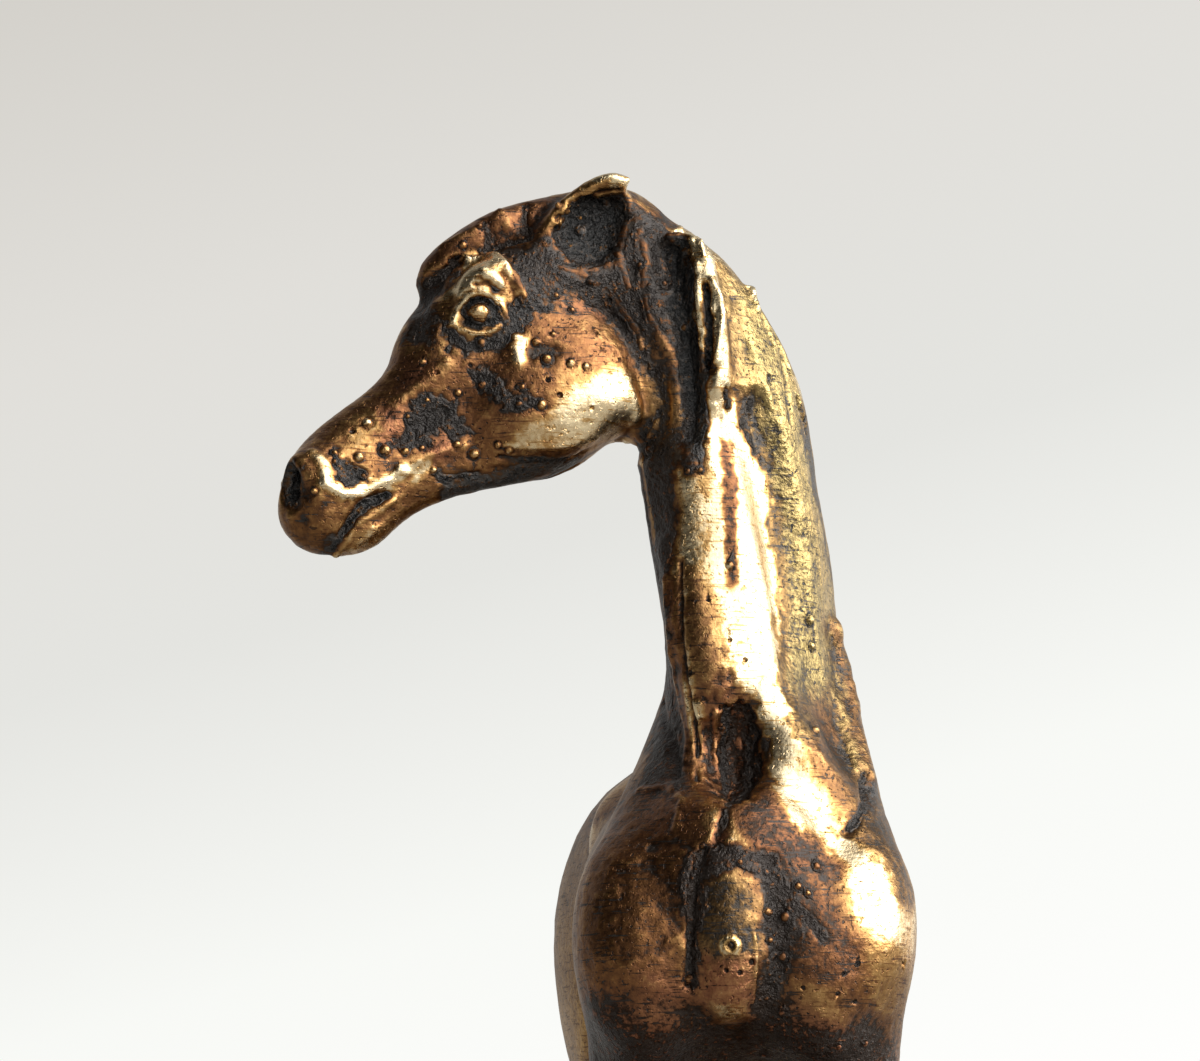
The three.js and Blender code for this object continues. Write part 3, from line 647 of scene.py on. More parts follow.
# Lines of the muscles and the ribs on both sides: places, width and height
MUSCLES = [
    ([(9, -7, 50), (9, -10, 45), (9, -14, 40), (9, -16, 36)], 1, -0.22),
    ([(9, -9, 36), (9, -12, 33), (7, -15, 30)], 0.8, -0.22),
    ([(9, 11, 47), (9, 8, 42), (9, 9, 36), (8, 13, 31)], 1.1, -0.22),
    ([(9, 22, 45), (9, 24, 40), (9, 23, 34)], 0.9, -0.2),
]
RIB_Y = [-5.0 + 3.2 * rib for rib in range(4)]
RIBS = [([(10, y, 46), (10, y + 0.8, 41), (10, y + 0.4, 36)], 0.9, -0.08) for y in RIB_Y]


def work_body(clay):
    """The strands of the tail, the hooves, and the lines of the muscles."""
    for strand in range(STRANDS):
        turn = math.radians(170.0 + 200.0 * strand / (STRANDS - 1.0))
        deep = 0.3 if strand % 2 else 0.16
        line = []
        for k, ((x, y, z), wide, thick) in enumerate(TAIL):
            bend = 0.16 * math.sin(1.3 * k + strand * 1.9)
            line.append((x + math.cos(turn) * wide + bend, y - math.sin(turn) * thick, z))
        clay.work(clay.nearest(line), 0.3 + 0.5 * deep, -deep)
    clay.look_again()
    z = clay.places[:, 2]
    rings = sum(swell * np.exp(-(((z - height) / wide) ** 2)) for height, wide, swell in HOOF_RINGS)
    low, high = HOOF_ZONE
    clay.places += clay.normals * (rings * (z < high) * (z > low))[:, None]
    for side in (-1.0, 1.0):
        for line, width, height in MUSCLES + RIBS:
            clay.work(clay.nearest([(side * x, y, z) for x, y, z in line]), width, height)
    clay.look_again()


# Round casting beads: their places on the picture and radii
BEADS = [
    (481, 343, 6.5), (423, 362, 4), (463, 245, 4.5), (480, 226, 4), (536, 342, 5), (547, 359, 6.5),
    (571, 363, 5.5), (586, 366, 4.5), (572, 310, 4), (556, 295, 4), (483, 385, 6), (522, 387, 4),
    (519, 404, 4.5), (541, 405, 6), (497, 398, 4), (458, 393, 4.5), (427, 400, 3.5), (408, 416, 3.5),
    (457, 444, 5), (474, 454, 6.5), (498, 445, 4.5), (509, 450, 5), (405, 451, 5), (422, 448, 4),
    (385, 450, 7.5), (359, 457, 6), (335, 462, 4), (334, 453, 4), (363, 476, 4.5), (367, 423, 6),
    (434, 470, 4.5), (314, 491, 4), (558, 205, 4), (567, 212, 4), (580, 218, 4), (553, 334, 3.5),
    (664, 284, 5), (684, 328, 6), (707, 288, 4), (709, 349, 4.5), (708, 364, 4), (650, 450, 7),
    (688, 471, 4), (700, 470, 4), (810, 620, 6), (812, 646, 5), (815, 730, 6), (730, 565, 5),
    (798, 886, 5), (768, 912, 6), (785, 917, 7), (783, 957, 6), (816, 866, 5), (770, 940, 4),
    (690, 979, 6), (740, 862, 4), (703, 846, 3.5), (766, 872, 4), (808, 893, 4), (764, 1054, 4),
    (783, 1013, 5), (838, 1046, 5), (864, 1043, 5), (612, 246, 4), (590, 282, 4), (640, 265, 4),
]
# Pits, written in the same way
PITS = [
    (858, 964, 3.5), (844, 974, 3), (803, 988, 3), (838, 994, 3), (855, 1002, 3), (904, 964, 3),
    (740, 973, 3.5), (726, 970, 3), (690, 673, 4), (752, 962, 4), (352, 431, 4),
    (604, 350, 3), (620, 360, 3), (596, 332, 3.5), (548, 380, 3.5), (470, 365, 3), (610, 300, 3),
    (592, 408, 3), (560, 395, 3.5), (436, 372, 3), (730, 640, 3), (745, 660, 3), (708, 600, 3),
]
PICTURE_MM = 23.0  # picture pixels to a millimetre
# The punched ring on the breast: its rim, its hollow and its middle, with radii and swells
RING = [(730, 946, 12, 0.4), (730.5, 945.5, 7, -0.9), (731, 945, 2.5, 1)]
RING_MIDDLE = (730, 946)
RING_RADIUS = 9.5
SCATTERED = 46  # beads and pits on the sides that have none of their own


def add_beads(clay):
    """Splits the mesh round each bead, and swells a small dome there."""
    piece = clay.piece
    marks = [(*bead, 1.0) for bead in BEADS] + [(*pit, -1.0) for pit in PITS] + RING
    beads = [(clay.place_at(px, py), 0.85 * radius / PICTURE_MM, swell) for px, py, radius, swell in marks]
    beads = [bead for bead in beads if bead[0] is not None]
    centres = face_values(piece, "center")
    rest = np.flatnonzero(~near_front(centres) & (centres[:, 2] > HOOF_Z))
    for pick in np.random.default_rng(5).integers(0, len(rest), SCATTERED):
        beads.append((centres[rest[pick]], 0.17 + 0.03 * (pick % 5), 1.0 if pick % 3 else -1.0))
    for _ in range(3):
        centres = face_values(piece, "center")
        areas = np.empty(len(centres))
        piece.data.polygons.foreach_get("area", areas)
        chosen = np.zeros(len(centres), dtype=bool)
        for place, radius, _ in beads:
            close = np.linalg.norm(centres - place, axis=1) < 1.3 * radius
            chosen |= close & (np.sqrt(areas) > radius / 2.4)
        on_faces(piece, chosen, bpy.ops.mesh.subdivide, number_cuts=1, smoothness=0.0)
    clay.read()
    for place, radius, swell in beads:
        away = np.linalg.norm(clay.places - place, axis=1) / radius
        close = away < 1.7
        way = clay.normals[close].mean(axis=0)
        way /= np.linalg.norm(way)
        dome = np.sqrt(np.clip(1.0 - away[close] ** 2, 0.0, 1.0))
        moat = smoothstep(0.7, 1.1, away[close]) * (1.0 - smoothstep(1.1, 1.7, away[close]))
        clay.places[close] += way * (swell * radius * (0.8 * dome - 0.18 * moat))[:, None]
    clay.look_again()
    return beads


# Tones of the metal: 0 is black patina, 0.5 is brown and 1 is rubbed bright. Some rows paint highlights and
# shade into the tone as well, as marked below. Each row has the tone, how red and how olive it is, the
# softness of its edge, and its outline on the picture.
TONES = [
    # Face, forelock and the skin behind the cheek
    (0.53, 0.3, 0, 25.8, [(270, 560), (270, 440), (400, 340), (470, 350), (520, 330), (640, 330), (660, 470),
     (440, 510), (330, 570)]),
    (0.38, 0.5, 0, 8.2, [(408, 280), (420, 245), (455, 228), (490, 205), (548, 190), (562, 204), (530, 238),
     (500, 246), (470, 254), (448, 272)]),
    # Painted shadow on the forehead under the overhanging forelock
    (0.18, 0.3, 0, 8.2, [(404, 285), (445, 271), (458, 268), (442, 300), (434, 330), (430, 348), (400, 348),
     (404, 310)]),
    (0.16, 0.3, 0, 9.9, [(505, 255), (530, 238), (556, 218), (600, 196), (640, 196), (668, 212), (694, 262),
     (700, 350), (706, 440), (692, 474), (650, 476), (612, 464), (603, 452), (640, 442), (654, 412),
     (641, 370), (626, 335), (600, 300), (570, 294), (545, 300), (522, 330), (508, 325), (520, 296)]),
    (0.07, 0, 0, 9, [(552, 226), (570, 210), (600, 199), (622, 203), (628, 220), (622, 238), (608, 256),
     (590, 265), (572, 262), (556, 248)]),
    (0.42, 0.5, 0.2, 14, [(640, 330), (660, 335), (672, 355), (655, 365), (640, 350)]),
    (0.36, 0.3, 0.3, 16, [(640, 370), (672, 380), (684, 420), (660, 440), (640, 420)]),
    # Brow and eye
    (0.74, 0.35, 0, 5, [(443, 298), (456, 270), (472, 256), (488, 251), (505, 257), (515, 284), (529, 302),
     (505, 305), (488, 299), (470, 295), (455, 308), (445, 318)]),
    # Painted highlight along the crest of the brow
    (0.98, 0, 0, 3.5, [(446, 292), (458, 268), (472, 256), (490, 252), (500, 260), (484, 268), (468, 280),
     (458, 294)]),
    (0.85, 0, 0, 3.5, [(484, 290), (500, 296), (528, 302), (508, 308), (490, 300)]),
    (0.12, 0, 0, 3.5, [(478, 279), (490, 283), (502, 290), (492, 291)]),
    (0.7, 0.2, 0, 5, [(440, 308), (462, 304), (462, 328), (446, 330)]),
    (0.05, 0, 0, 3.5, [(461, 312), (468, 298), (482, 295), (496, 304), (498, 320), (484, 328), (468, 324)]),
    (0.6, 0.4, 0, 3.5, [(468, 313), (473, 303), (484, 302), (491, 310), (487, 321), (474, 322)]),
    (0.66, 0.2, 0, 2.9, [(458, 325), (470, 329), (486, 330), (500, 322), (500, 328), (488, 336), (470, 336),
     (458, 331)]),
    (0.09, 0.1, 0, 5, [(436, 322), (448, 334), (470, 340), (492, 338), (508, 326), (508, 302), (528, 296),
     (548, 302), (532, 324), (515, 336), (492, 349), (460, 354), (443, 352)]),
    # Cheek and nose
    (0.5, 0.45, 0, 11, [(520, 334), (545, 310), (562, 304), (600, 330), (618, 338), (630, 362), (645, 390),
     (646, 410), (630, 434), (600, 444), (540, 449), (512, 446), (505, 430), (540, 418), (552, 404),
     (540, 392), (515, 372), (502, 352)]),
    # Painted highlight on the lower rear of the cheek, a painted golden reflection along its lower edge, and
    # a small painted highlight on the bump before it
    (0.94, 0, 0, 16, [(562, 384), (592, 372), (620, 368), (640, 384), (645, 410), (630, 432), (600, 440),
     (565, 442), (548, 430), (552, 400)]),
    (0.82, 0.1, 0, 8.2, [(506, 430), (545, 420), (560, 446), (512, 447)]),
    (0.9, 0.1, 0, 6.5, [(512, 338), (530, 336), (534, 354), (516, 360)]),
    (0.52, 0.5, 0, 12, [(440, 358), (500, 352), (512, 374), (545, 400), (540, 418), (505, 434), (480, 442),
     (465, 420), (455, 395), (440, 380)]),
    (0.45, 0.6, 0, 6.5, [(556, 300), (580, 297), (606, 306), (610, 320), (590, 318), (565, 306)]),
    (0.42, 0.2, 0, 8.2, [(530, 342), (550, 344), (566, 352), (566, 368), (545, 372), (530, 362)]),
    (0.1, 0.2, 0, 6, [(472, 368), (492, 372), (512, 386), (532, 400), (546, 402), (546, 410), (524, 413),
     (502, 402), (480, 396), (474, 384)]),
    (0.05, 0.2, 0, 6, [(426, 398), (444, 391), (458, 396), (466, 416), (474, 434), (456, 440), (440, 433),
     (424, 441), (398, 446), (384, 441), (402, 430), (408, 416), (404, 406)]),
    (0.4, 1, 0, 9.9, [(374, 408), (398, 398), (402, 420), (394, 438), (376, 436)]),
    (0.42, 1, 0, 8.2, [(428, 440), (448, 436), (454, 450), (446, 464), (428, 458)]),
    (0.42, 0.9, 0, 13.9, [(400, 365), (425, 362), (430, 382), (405, 392)]),
    # Painted highlight on the side of the nose
    (0.72, 0.2, 0, 8.2, [(334, 442), (356, 424), (374, 414), (380, 430), (366, 452), (345, 454)]),
    (0.1, 0.1, 0, 4.5, [(328, 447), (338, 456), (356, 460), (368, 470), (370, 479), (354, 486), (336, 481),
     (331, 466)]),
    # Nostril and mouth
    (0.38, 0.2, 0, 13, [(272, 470), (300, 470), (322, 505), (330, 525), (315, 556), (290, 545), (276, 520)]),
    (0.03, 0, 0, 5, [(278, 475), (286, 460), (298, 464), (303, 485), (298, 505), (284, 505)]),
    # Painted highlight on the nostril's wing and along the upper lip
    (0.7, 0.1, 0, 6.5, [(312, 455), (324, 456), (332, 482), (328, 502), (316, 488)]),
    (0.97, 0, 0, 5, [(318, 474), (330, 480), (352, 488), (395, 470), (428, 462), (430, 472), (400, 484),
     (378, 489), (350, 502), (328, 496)]),
    (0.1, 0, 0, 3.5, [(378, 490), (388, 494), (386, 502), (372, 508), (358, 517), (346, 533), (334, 550),
     (324, 560), (320, 552), (334, 536), (344, 518), (360, 503)]),
    # Rim of the ear, and the jaw
    (0.5, 0.2, 0, 4.2, [(545, 214), (590, 178), (612, 174), (612, 189), (585, 198), (552, 228)]),
    # Painted shade under the edge of the jaw
    (0.12, 0, 0, 8.2, [(430, 478), (500, 466), (520, 456), (600, 452), (612, 466), (560, 474), (500, 494),
     (450, 504)]),
    # Neck and mane
    # Painted shade along the neck's left edge, where it turns away from the light
    (0.07, 0.5, 0, 9, [(630, 465), (672, 478), (678, 560), (670, 600), (684, 700), (696, 790), (640, 796),
     (650, 740), (662, 690), (648, 600)]),
    (0.42, 0.4, 0, 3.5, [(664, 580), (680, 580), (686, 690), (694, 760), (684, 760), (674, 690)]),
    # Painted highlight at the top of the bright band on the neck
    (0.9, 0.1, 0.1, 12, [(682, 480), (696, 500), (703, 560), (707, 600), (694, 606), (682, 570)]),
    (0.46, 0.4, 0.1, 8, [(682, 560), (694, 566), (703, 596), (714, 636), (726, 672), (742, 700), (724, 712),
     (700, 704), (690, 680), (682, 620)]),
    (0.58, 0, 0.75, 14, [(735, 285), (775, 305), (815, 360), (845, 560), (870, 700), (880, 800), (850, 770),
     (830, 700), (815, 600), (790, 480), (765, 410), (750, 350)]),
    (0.5, 0, 0.75, 12, [(738, 288), (770, 306), (792, 350), (804, 410), (786, 420), (766, 400), (752, 350)]),
    # Painted highlight along the ridge of the mane
    (0.95, 0, 0.3, 3.5, [(757, 286), (780, 306), (800, 345), (812, 396), (802, 400), (790, 350), (770, 312),
     (752, 296)]),
    (0.56, 0, 0.6, 7, [(796, 500), (810, 520), (824, 600), (832, 670), (822, 690), (812, 620), (800, 560)]),
    (0.6, 0.2, 0.45, 9, [(715, 248), (738, 288), (752, 350), (770, 425), (776, 452), (764, 448), (748, 405),
     (736, 370), (724, 310)]),
    # Rubbed bright metal down the neck to the point of the shoulder, with a painted highlight along it
    (1, 0, 0, 6, [(712, 372), (725, 376), (743, 433), (767, 483), (777, 533), (783, 600), (792, 680),
     (800, 735), (832, 780), (850, 835), (886, 874), (903, 925), (898, 965), (886, 955), (866, 926),
     (846, 880), (820, 844), (786, 818), (772, 780), (774, 752), (756, 706), (735, 672), (716, 600),
     (706, 540), (698, 495), (706, 500), (712, 480), (705, 440)]),
    (0.32, 0.2, 0.2, 13, [(846, 770), (880, 775), (910, 850), (925, 900), (905, 905), (888, 872),
     (856, 835)]),
    (0.36, 0.5, 0, 3.5, [(720, 440), (731, 446), (738, 500), (738, 592), (731, 592), (725, 520)]),
    (0.05, 0, 0, 2.2, [(723, 388), (730, 390), (729, 411), (723, 409)]),
    (0.46, 0, 0.8, 10, [(746, 340), (778, 356), (796, 470), (812, 530), (822, 600), (826, 690), (818, 745),
     (798, 738), (790, 660), (784, 580), (772, 490)]),
    (0.6, 0, 0.6, 7, [(812, 500), (822, 500), (836, 580), (842, 660), (832, 680), (826, 640), (820, 580)]),
    (0.2, 0, 0.3, 3, [(798, 400), (812, 412), (826, 470), (836, 540), (842, 600), (836, 600), (824, 540),
     (810, 470)]),
    # Painted shadow in the recess between the jaw and the lock
    (0.05, 0, 0, 5, [(668, 240), (684, 240), (694, 280), (700, 350), (712, 372), (704, 440), (694, 470),
     (684, 400), (676, 320)]),
    # Painted highlight along the rims of the lock
    (0.95, 0, 0.1, 3.5, [(668, 232), (690, 224), (704, 246), (716, 284), (726, 306), (722, 360), (716, 368),
     (716, 300), (704, 276), (702, 350), (695, 320), (693, 270), (690, 236)]),
    (0.06, 0, 0, 2.2, [(703, 280), (711, 284), (714, 330), (712, 366), (706, 366), (703, 320)]),
    # Breast and shoulders
    (0.44, 0.3, 0, 30, [(570, 800), (700, 780), (705, 880), (690, 1000), (560, 1061)]),
    (0.4, 0.6, 0, 13.9, [(700, 690), (728, 676), (745, 692), (736, 730), (740, 800), (706, 806),
     (698, 750)]),
    (0.28, 0.5, 0, 12, [(735, 806), (770, 786), (786, 820), (822, 846), (845, 876), (800, 880), (760, 860),
     (736, 836)]),
    (0.4, 0.7, 0, 6, [(728, 704), (741, 693), (750, 708), (758, 735), (762, 760), (757, 781), (744, 797),
     (734, 812), (722, 838), (712, 850), (704, 842), (716, 820), (720, 800), (724, 760)]),
    (0.14, 0.3, 0, 4.5, [(746, 700), (756, 733), (760, 762), (754, 788), (738, 808), (728, 830), (720, 828),
     (730, 802), (742, 784), (748, 760), (746, 730)]),
    (0.12, 0.2, 0, 3.5, [(722, 704), (728, 704), (728, 790), (721, 795)]),
    (0.45, 0.5, 0, 11.8, [(640, 790), (668, 786), (684, 800), (706, 800), (706, 836), (660, 838),
     (640, 820)]),
    (0.36, 0.4, 0, 18, [(780, 860), (830, 884), (862, 936), (892, 966), (915, 960), (906, 1000), (880, 1020),
     (840, 1000), (790, 985), (770, 960)]),
    (0.31, 0.2, 0.3, 7, [(702, 884), (718, 878), (740, 880), (754, 890), (757, 930), (753, 960), (700, 964),
     (697, 930)]),
    (0.5, 1, 0, 14, [(697, 960), (757, 960), (757, 1005), (735, 1015), (700, 1005)]),
    (0.5, 1, 0, 18, [(640, 970), (690, 985), (688, 1005), (650, 1000)]),
    (0.06, 0.5, 0, 4.5, [(684, 850), (706, 856), (703, 900), (697, 950), (692, 992), (687, 992), (686, 930),
     (683, 890)]),
    (0.14, 0.4, 0, 13, [(745, 860), (790, 866), (800, 890), (830, 930), (800, 942), (792, 975), (768, 978),
     (764, 900)]),
    # Painted shade, darker towards the bottom where the breast turns under
    (0.08, 0.95, 0, 34, [(560, 1012), (640, 1010), (700, 1024), (740, 1034), (765, 998), (800, 1010),
     (860, 1020), (886, 1038), (900, 1090), (560, 1090)]),
    (0.14, 0.1, 0, 5, [(866, 774), (876, 776), (872, 800), (858, 826), (845, 834), (844, 824), (860, 800)]),
    (0.4, 0.1, 0.3, 5, [(760, 430), (768, 430), (778, 500), (785, 580), (787, 650), (796, 700), (806, 740),
     (796, 740), (784, 700), (777, 650), (775, 580), (768, 500)]),
    (0.45, 0.3, 0.1, 16, [(800, 700), (826, 690), (846, 740), (852, 800), (838, 826), (815, 780)]),
    (0.64, 0.2, 0, 12, [(868, 940), (912, 940), (908, 1000), (880, 1024), (862, 990)]),
    (0.12, 0.4, 0, 6, [(688, 852), (706, 840), (740, 848), (775, 856), (796, 868), (780, 882), (752, 878),
     (722, 874), (702, 886), (690, 884)]),
    # Withers
    (0.34, 0.3, 0.15, 7, [(828, 616), (842, 622), (862, 690), (884, 772), (866, 776), (848, 722),
     (838, 680)]),
    (0.2, 0.1, 0.2, 5, [(846, 640), (856, 650), (864, 690), (856, 690)]),
]
BASE_TONE = 0.5
BASE_RED = 0.22
BASE_OLIVE = 0.14


def paint(clay, beads):
    """Gives each point its tone of metal, from how it stands out and from the outlines, some of which paint
    highlights and shade.
    """
    broad = clay.relief(160)
    stain = mottle(clay.places / 8.0) + 0.6 * mottle(clay.places / 2.7)
    tone = BASE_TONE + 1.8 * np.clip(broad, -0.3, 0.22) + 0.2 * stain
    tone -= 0.2 * smoothstep(0.3, 0.7, -stain)
    red = np.full(len(tone), BASE_RED)
    olive = np.full(len(tone), BASE_OLIVE)
    for value, redness, greenness, soft, outline in TONES:
        mask = clay.inside(outline, soft)
        tone += mask * (value - tone)
        red += mask * (redness - red)
        olive += mask * (greenness - olive)
    rough = 1.0 - 0.8 * smoothstep(0.35, 0.95, tone)
    clay.roughen(0.9, 0.04 * rough)
    clay.roughen(0.4, 0.03 * rough)
    clay.look_again()
    tone += np.clip(3.6 * clay.relief(10), -0.24, 0.24)
    for place, radius, swell in beads:
        away = np.linalg.norm(clay.places - place, axis=1) / radius
        tone += (1.0 - smoothstep(0.5, 1.0, away)) * (np.maximum(tone, 0.72) - tone) * (swell > 0.0)
        tone -= 0.12 * smoothstep(0.8, 1.1, away) * (1.0 - smoothstep(1.1, 1.5, away)) * (abs(swell) > 0.9)
        tone -= 0.4 * (1.0 - smoothstep(0.4, 1.0, away)) * (swell < 0.0)
    ring = [
        (RING_MIDDLE[0] + RING_RADIUS * math.cos(turn), RING_MIDDLE[1] + RING_RADIUS * math.sin(turn))
        for turn in np.linspace(0.0, 6.3, 15)
    ]
    tone += clay.near(ring, 4.0) * (1.0 - tone)
    give(clay, tone, red, olive)


def give(clay, tone, red, olive):
    for name, values in (("tone", tone), ("redness", red), ("olive", olive)):
        layer = clay.piece.data.attributes.new(name, "FLOAT", "POINT")
        layer.data.foreach_set("value", np.clip(values, 0.0, 1.0))


def make_plinth():
    """The plinth with a cast skin, worn bright along its edges."""
    plinth = merged_copy("plinth", "bronze_plinth")
    apply_modifier(plinth, "REMESH", mode="VOXEL", voxel_size=0.4)
    smooth_points(plinth, 2)
    clay = Clay(plinth)
    clay.roughen(3.0, 0.06)
    clay.roughen(0.9, 0.05)
    clay.look_again()
    edge = np.clip(2.2 * clay.relief(40), -0.3, 0.45)
    stain = mottle(clay.places / 7.0)
    give(clay, 0.36 + edge + 0.16 * stain, np.full(len(edge), 0.3), np.zeros(len(edge)))
    return plinth


def finish_piece(piece):
    only(piece)
    piece.scale = (MM,) * 3
    bpy.ops.object.transform_apply(location=False, rotation=False, scale=True)
    bpy.ops.object.shade_smooth()


class Wire:
    """A value on its way between nodes, for sums and products in plain expressions."""

    def __init__(self, board, socket):
        self.board = board
        self.socket = socket

    def __add__(self, other):
        return self.board.maths("ADD", self, other)

    def __radd__(self, other):
        return self.board.maths("ADD", other, self)

    def __sub__(self, other):
        return self.board.maths("SUBTRACT", self, other)

    def __rsub__(self, other):
        return self.board.maths("SUBTRACT", other, self)

    def __mul__(self, other):
        return self.board.maths("MULTIPLY", self, other)

    def __rmul__(self, other):
        return self.board.maths("MULTIPLY", other, self)


class Board:
    """The nodes of a finish or of the studio's walls."""

    def __init__(self, tree):
        self.tree = tree

    def feed(self, socket, value):
        if isinstance(value, Wire):
            self.tree.links.new(value.socket, socket)
        else:
            socket.default_value = value

    def node(self, kind, settings=None, inputs=None, output=0):
        node = self.tree.nodes.new("ShaderNode" + kind)
        for name, value in (settings or {}).items():
            if name == "stops":
                ramp = node.color_ramp
                while len(ramp.elements) < len(value):
                    ramp.elements.new(0.5)
                for element, (place, colour) in zip(ramp.elements, value):
                    element.position = place
                    element.color = (*colour, 1.0)
            else:
                setattr(node, name, value)
        for name, value in (inputs or {}).items():
            self.feed(node.inputs[name], value)
        return Wire(self, node.outputs[output])

    def maths(self, operation, *values):
        return self.node("Math", {"operation": operation}, dict(enumerate(values)))

    def step(self, value, low, high):
        """0 at low, 1 at high, and smooth between them."""
        settings = {"interpolation_type": "SMOOTHSTEP"}
        return self.node("MapRange", settings, {0: value, 1: low, 2: high, 3: 0.0, 4: 1.0})

    def span(self, value, low, high, soft):
        """1 between low and high, and 0 outside them."""
        return self.step(value, low - soft, low + soft) * (1.0 - self.step(value, high - soft, high + soft))

    def blend(self, share, one, other):
        """A colour between two colours."""
        settings = {"data_type": "RGBA", "clamp_factor": True}
        return self.node("Mix", settings, {0: share, 6: one, 7: other}, 2)

    def noise(self, places, scale, detail, roughness):
        inputs = {"Vector": places, "Scale": scale, "Detail": detail, "Roughness": roughness}
        return self.node("TexNoise", None, inputs)

    def attribute(self, name):
        return self.node("Attribute", {"attribute_name": name}, None, 2)

    def stretched(self, places, factors):
        return self.node("Mapping", None, {"Vector": places, "Scale": factors})


def new_finish(name):
    material = bpy.data.materials.new(name)
    material.use_nodes = True
    return material, Board(material.node_tree), material.node_tree.nodes["Principled BSDF"].inputs


# Colours of the metal, from the black patina to the rubbed crests and the painted highlights
BRONZE = [
    (0, (0.009, 0.009, 0.009)),
    (0.14, (0.032, 0.03, 0.029)),
    (0.26, (0.07, 0.06, 0.052)),
    (0.38, (0.08, 0.04, 0.018)),
    (0.55, (0.21, 0.102, 0.034)),
    (0.75, (0.52, 0.305, 0.108)),
    (1, (0.9, 0.73, 0.46)),
]
OLD_BROWN = (0.022, 0.012, 0.007, 1.0)
COPPER_RED = (0.36, 0.145, 0.085, 1.0)
OLIVE_GOLD = (0.60, 0.54, 0.24, 1.0)


def bronze_finish():
    """Cast bronze with black patina in its hollows, rubbed bright where it is worn and filed; its tone also
    carries painted highlights and shade.
    """
    material, b, shader = new_finish("rubbed bronze with painted light")
    places = b.node("TexCoord", None, None, 3)
    tone = b.attribute("tone")
    redness = b.attribute("redness")
    olive = b.attribute("olive")

    cloud = b.noise(places, 900.0, 7.0, 0.74) - 0.5
    grain = b.noise(places, 4300.0, 3.0, 0.62) - 0.5
    fleck = b.noise(places, 5200.0, 2.0, 0.5) - 0.5
    worn = b.step(tone, 0.08, 0.32)
    raw = 1.0 - worn * (0.9 - redness * 0.16 - olive * 0.4)
    pits = b.step(fleck, 0.11, 0.19) * (raw * 0.7 + 0.3)
    marks = b.noise(b.stretched(places, (800.0, 800.0, 10000.0)), 1.0, 3.0, 0.55)
    scratches = b.step(marks, 0.58, 0.66) * worn
    level = tone + cloud * (0.2 + raw * 0.6) + grain * (0.24 + raw * 1.6) - pits * 0.45 - scratches * 0.22

    colour = b.node("ValToRGB", {"stops": BRONZE}, {0: level})
    dark_share = redness * 1.6 * (1.0 - b.step(level, 0.28, 0.4))
    colour = b.blend(dark_share, colour, OLD_BROWN)
    red_share = redness * b.step(level, 0.26, 0.45) * (1.0 - b.step(level, 0.7, 0.95)) * 0.55
    colour = b.blend(red_share, colour, COPPER_RED)
    colour = b.blend(olive * b.step(level, 0.2, 0.6) * 0.5, colour, OLIVE_GOLD)
    b.feed(shader["Base Color"], colour)
    metal = b.step(level, 0.14, 0.34)
    b.feed(shader["Metallic"], metal * 0.6 + 0.4)
    bright = b.step(level, 0.3, 0.9)
    b.feed(shader["Roughness"], 0.42 - bright * 0.14 - raw * 0.07 + grain * 0.3)

    skin = b.noise(places, 1300.0, 3.0, 0.6)
    height = (grain * 1.3 + skin * 1.3) * raw + marks * worn * 0.05 - pits * 0.3
    normal = b.node("Bump", None, {"Strength": 1.0, "Distance": 0.00016, "Height": height})
    b.feed(shader["Normal"], normal)
    return material


def plain(name, colour, roughness):
    material, _, shader = new_finish(name)
    shader["Base Color"].default_value = (*colour, 1.0)
    shader["Roughness"].default_value = roughness
    return material


# Bright panels round the room: the turn from the camera's side towards the right and the rise over
# the floor, each from, to and softness in degrees, and the strength. They are the window, blind, curtain,
# sill and door.
PANELS = [
    ((38, 102, 14), (-2, 64, 10), 5),
    ((10, 40, 8), (2, 66, 10), 2.2),
    ((-6, 12, 10), (4, 66, 10), 1.4),
    ((66, 150, 10), (-26, 0, 8), 1.8),
    ((64, 152, 12), (-26, 26, 8), 1),
]
DAYLIGHT = (1.0, 0.985, 0.96)
FLOOR_SIZE = 6.0
FLOOR = (0.36, 0.355, 0.34)
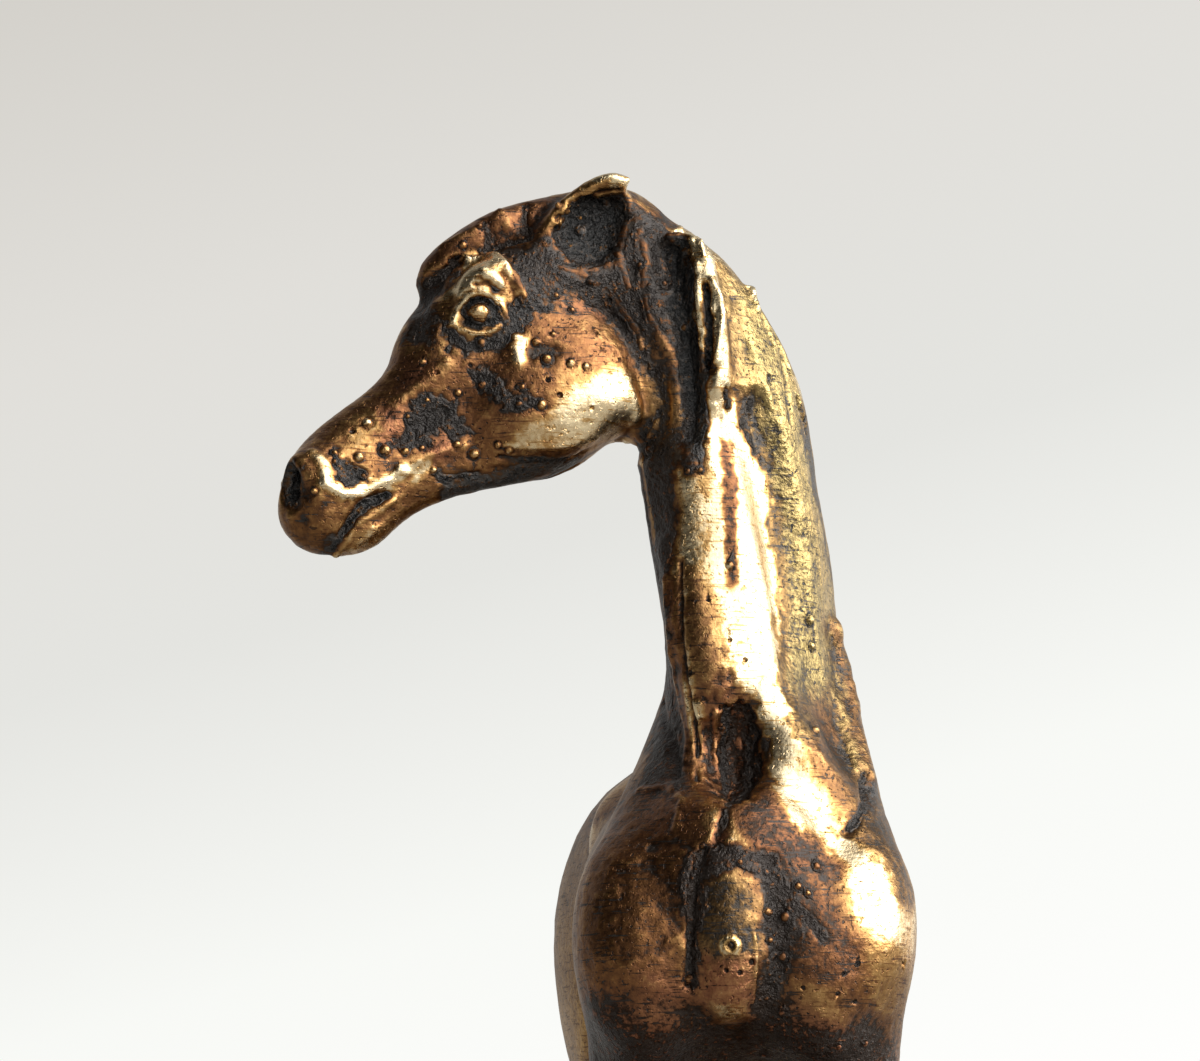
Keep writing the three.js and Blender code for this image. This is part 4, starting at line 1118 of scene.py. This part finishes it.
# The wall the camera sees behind the horse, with painted shading: white near the floor and towards the
# right, greyer higher up and towards the left
WALL = [
    (0, (1, 1, 0.985)),
    (0.085, (0.94, 0.95, 0.92)),
    (0.165, (0.78, 0.78, 0.75)),
    (0.24, (0.75, 0.735, 0.70)),
    (0.32, (0.66, 0.64, 0.60)),
]


def make_studio():
    """A pale floor in a pale room, with a large window at the right and a dim wall at the left."""
    bpy.ops.object.select_all(action="DESELECT")
    bpy.ops.mesh.primitive_plane_add(size=FLOOR_SIZE, location=(0.0, 0.0, 0.0))
    floor = bpy.context.view_layer.objects.active
    floor.name = "floor"
    floor.data.materials.append(plain("pale floor", FLOOR, 0.7))

    world = bpy.data.worlds.new("studio")
    bpy.context.scene.world = world
    world.use_nodes = True
    b = Board(world.node_tree)
    way = b.node("TexCoord")
    across = b.node("SeparateXYZ", None, {0: way})
    along = b.node("SeparateXYZ", None, {0: way}, 1)
    up = b.node("SeparateXYZ", None, {0: way}, 2)
    turn = b.maths("ARCTAN2", across, along * -1.0) * math.degrees(1.0)
    rise = b.maths("ARCSINE", up) * math.degrees(1.0)

    far_wall = b.step(along, 0.0, 0.8)
    ceiling = b.step(up, 0.35, 0.9) * b.step(across, -0.6, 0.6)
    light = 0.03 + 0.4 * far_wall + 0.2 * ceiling
    for turn_span, rise_span, strength in PANELS:
        light = light + strength * b.span(turn, *turn_span) * b.span(rise, *rise_span)
    room = b.node("VectorMath", {"operation": "SCALE"}, {0: DAYLIGHT, 3: light})
    # Painted shading on the wall seen by the camera
    wall = b.node("ValToRGB", {"stops": WALL}, {0: up - across * 0.3})
    colour = b.blend(b.node("LightPath"), room, wall)
    b.feed(world.node_tree.nodes["Background"].inputs["Color"], colour)
    bpy.context.scene.view_settings.view_transform = "Standard"


make_camera()
make_studio()

bronze = bronze_finish()
for piece, node, slot in (
    (make_horse(), "horse", "rubbed_bronze"),
    (make_plinth(), "plinth", "plinth_bronze"),
):
    finish_piece(piece)
    piece.data.materials.append(bronze)
    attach(piece, "root")
    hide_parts(node)
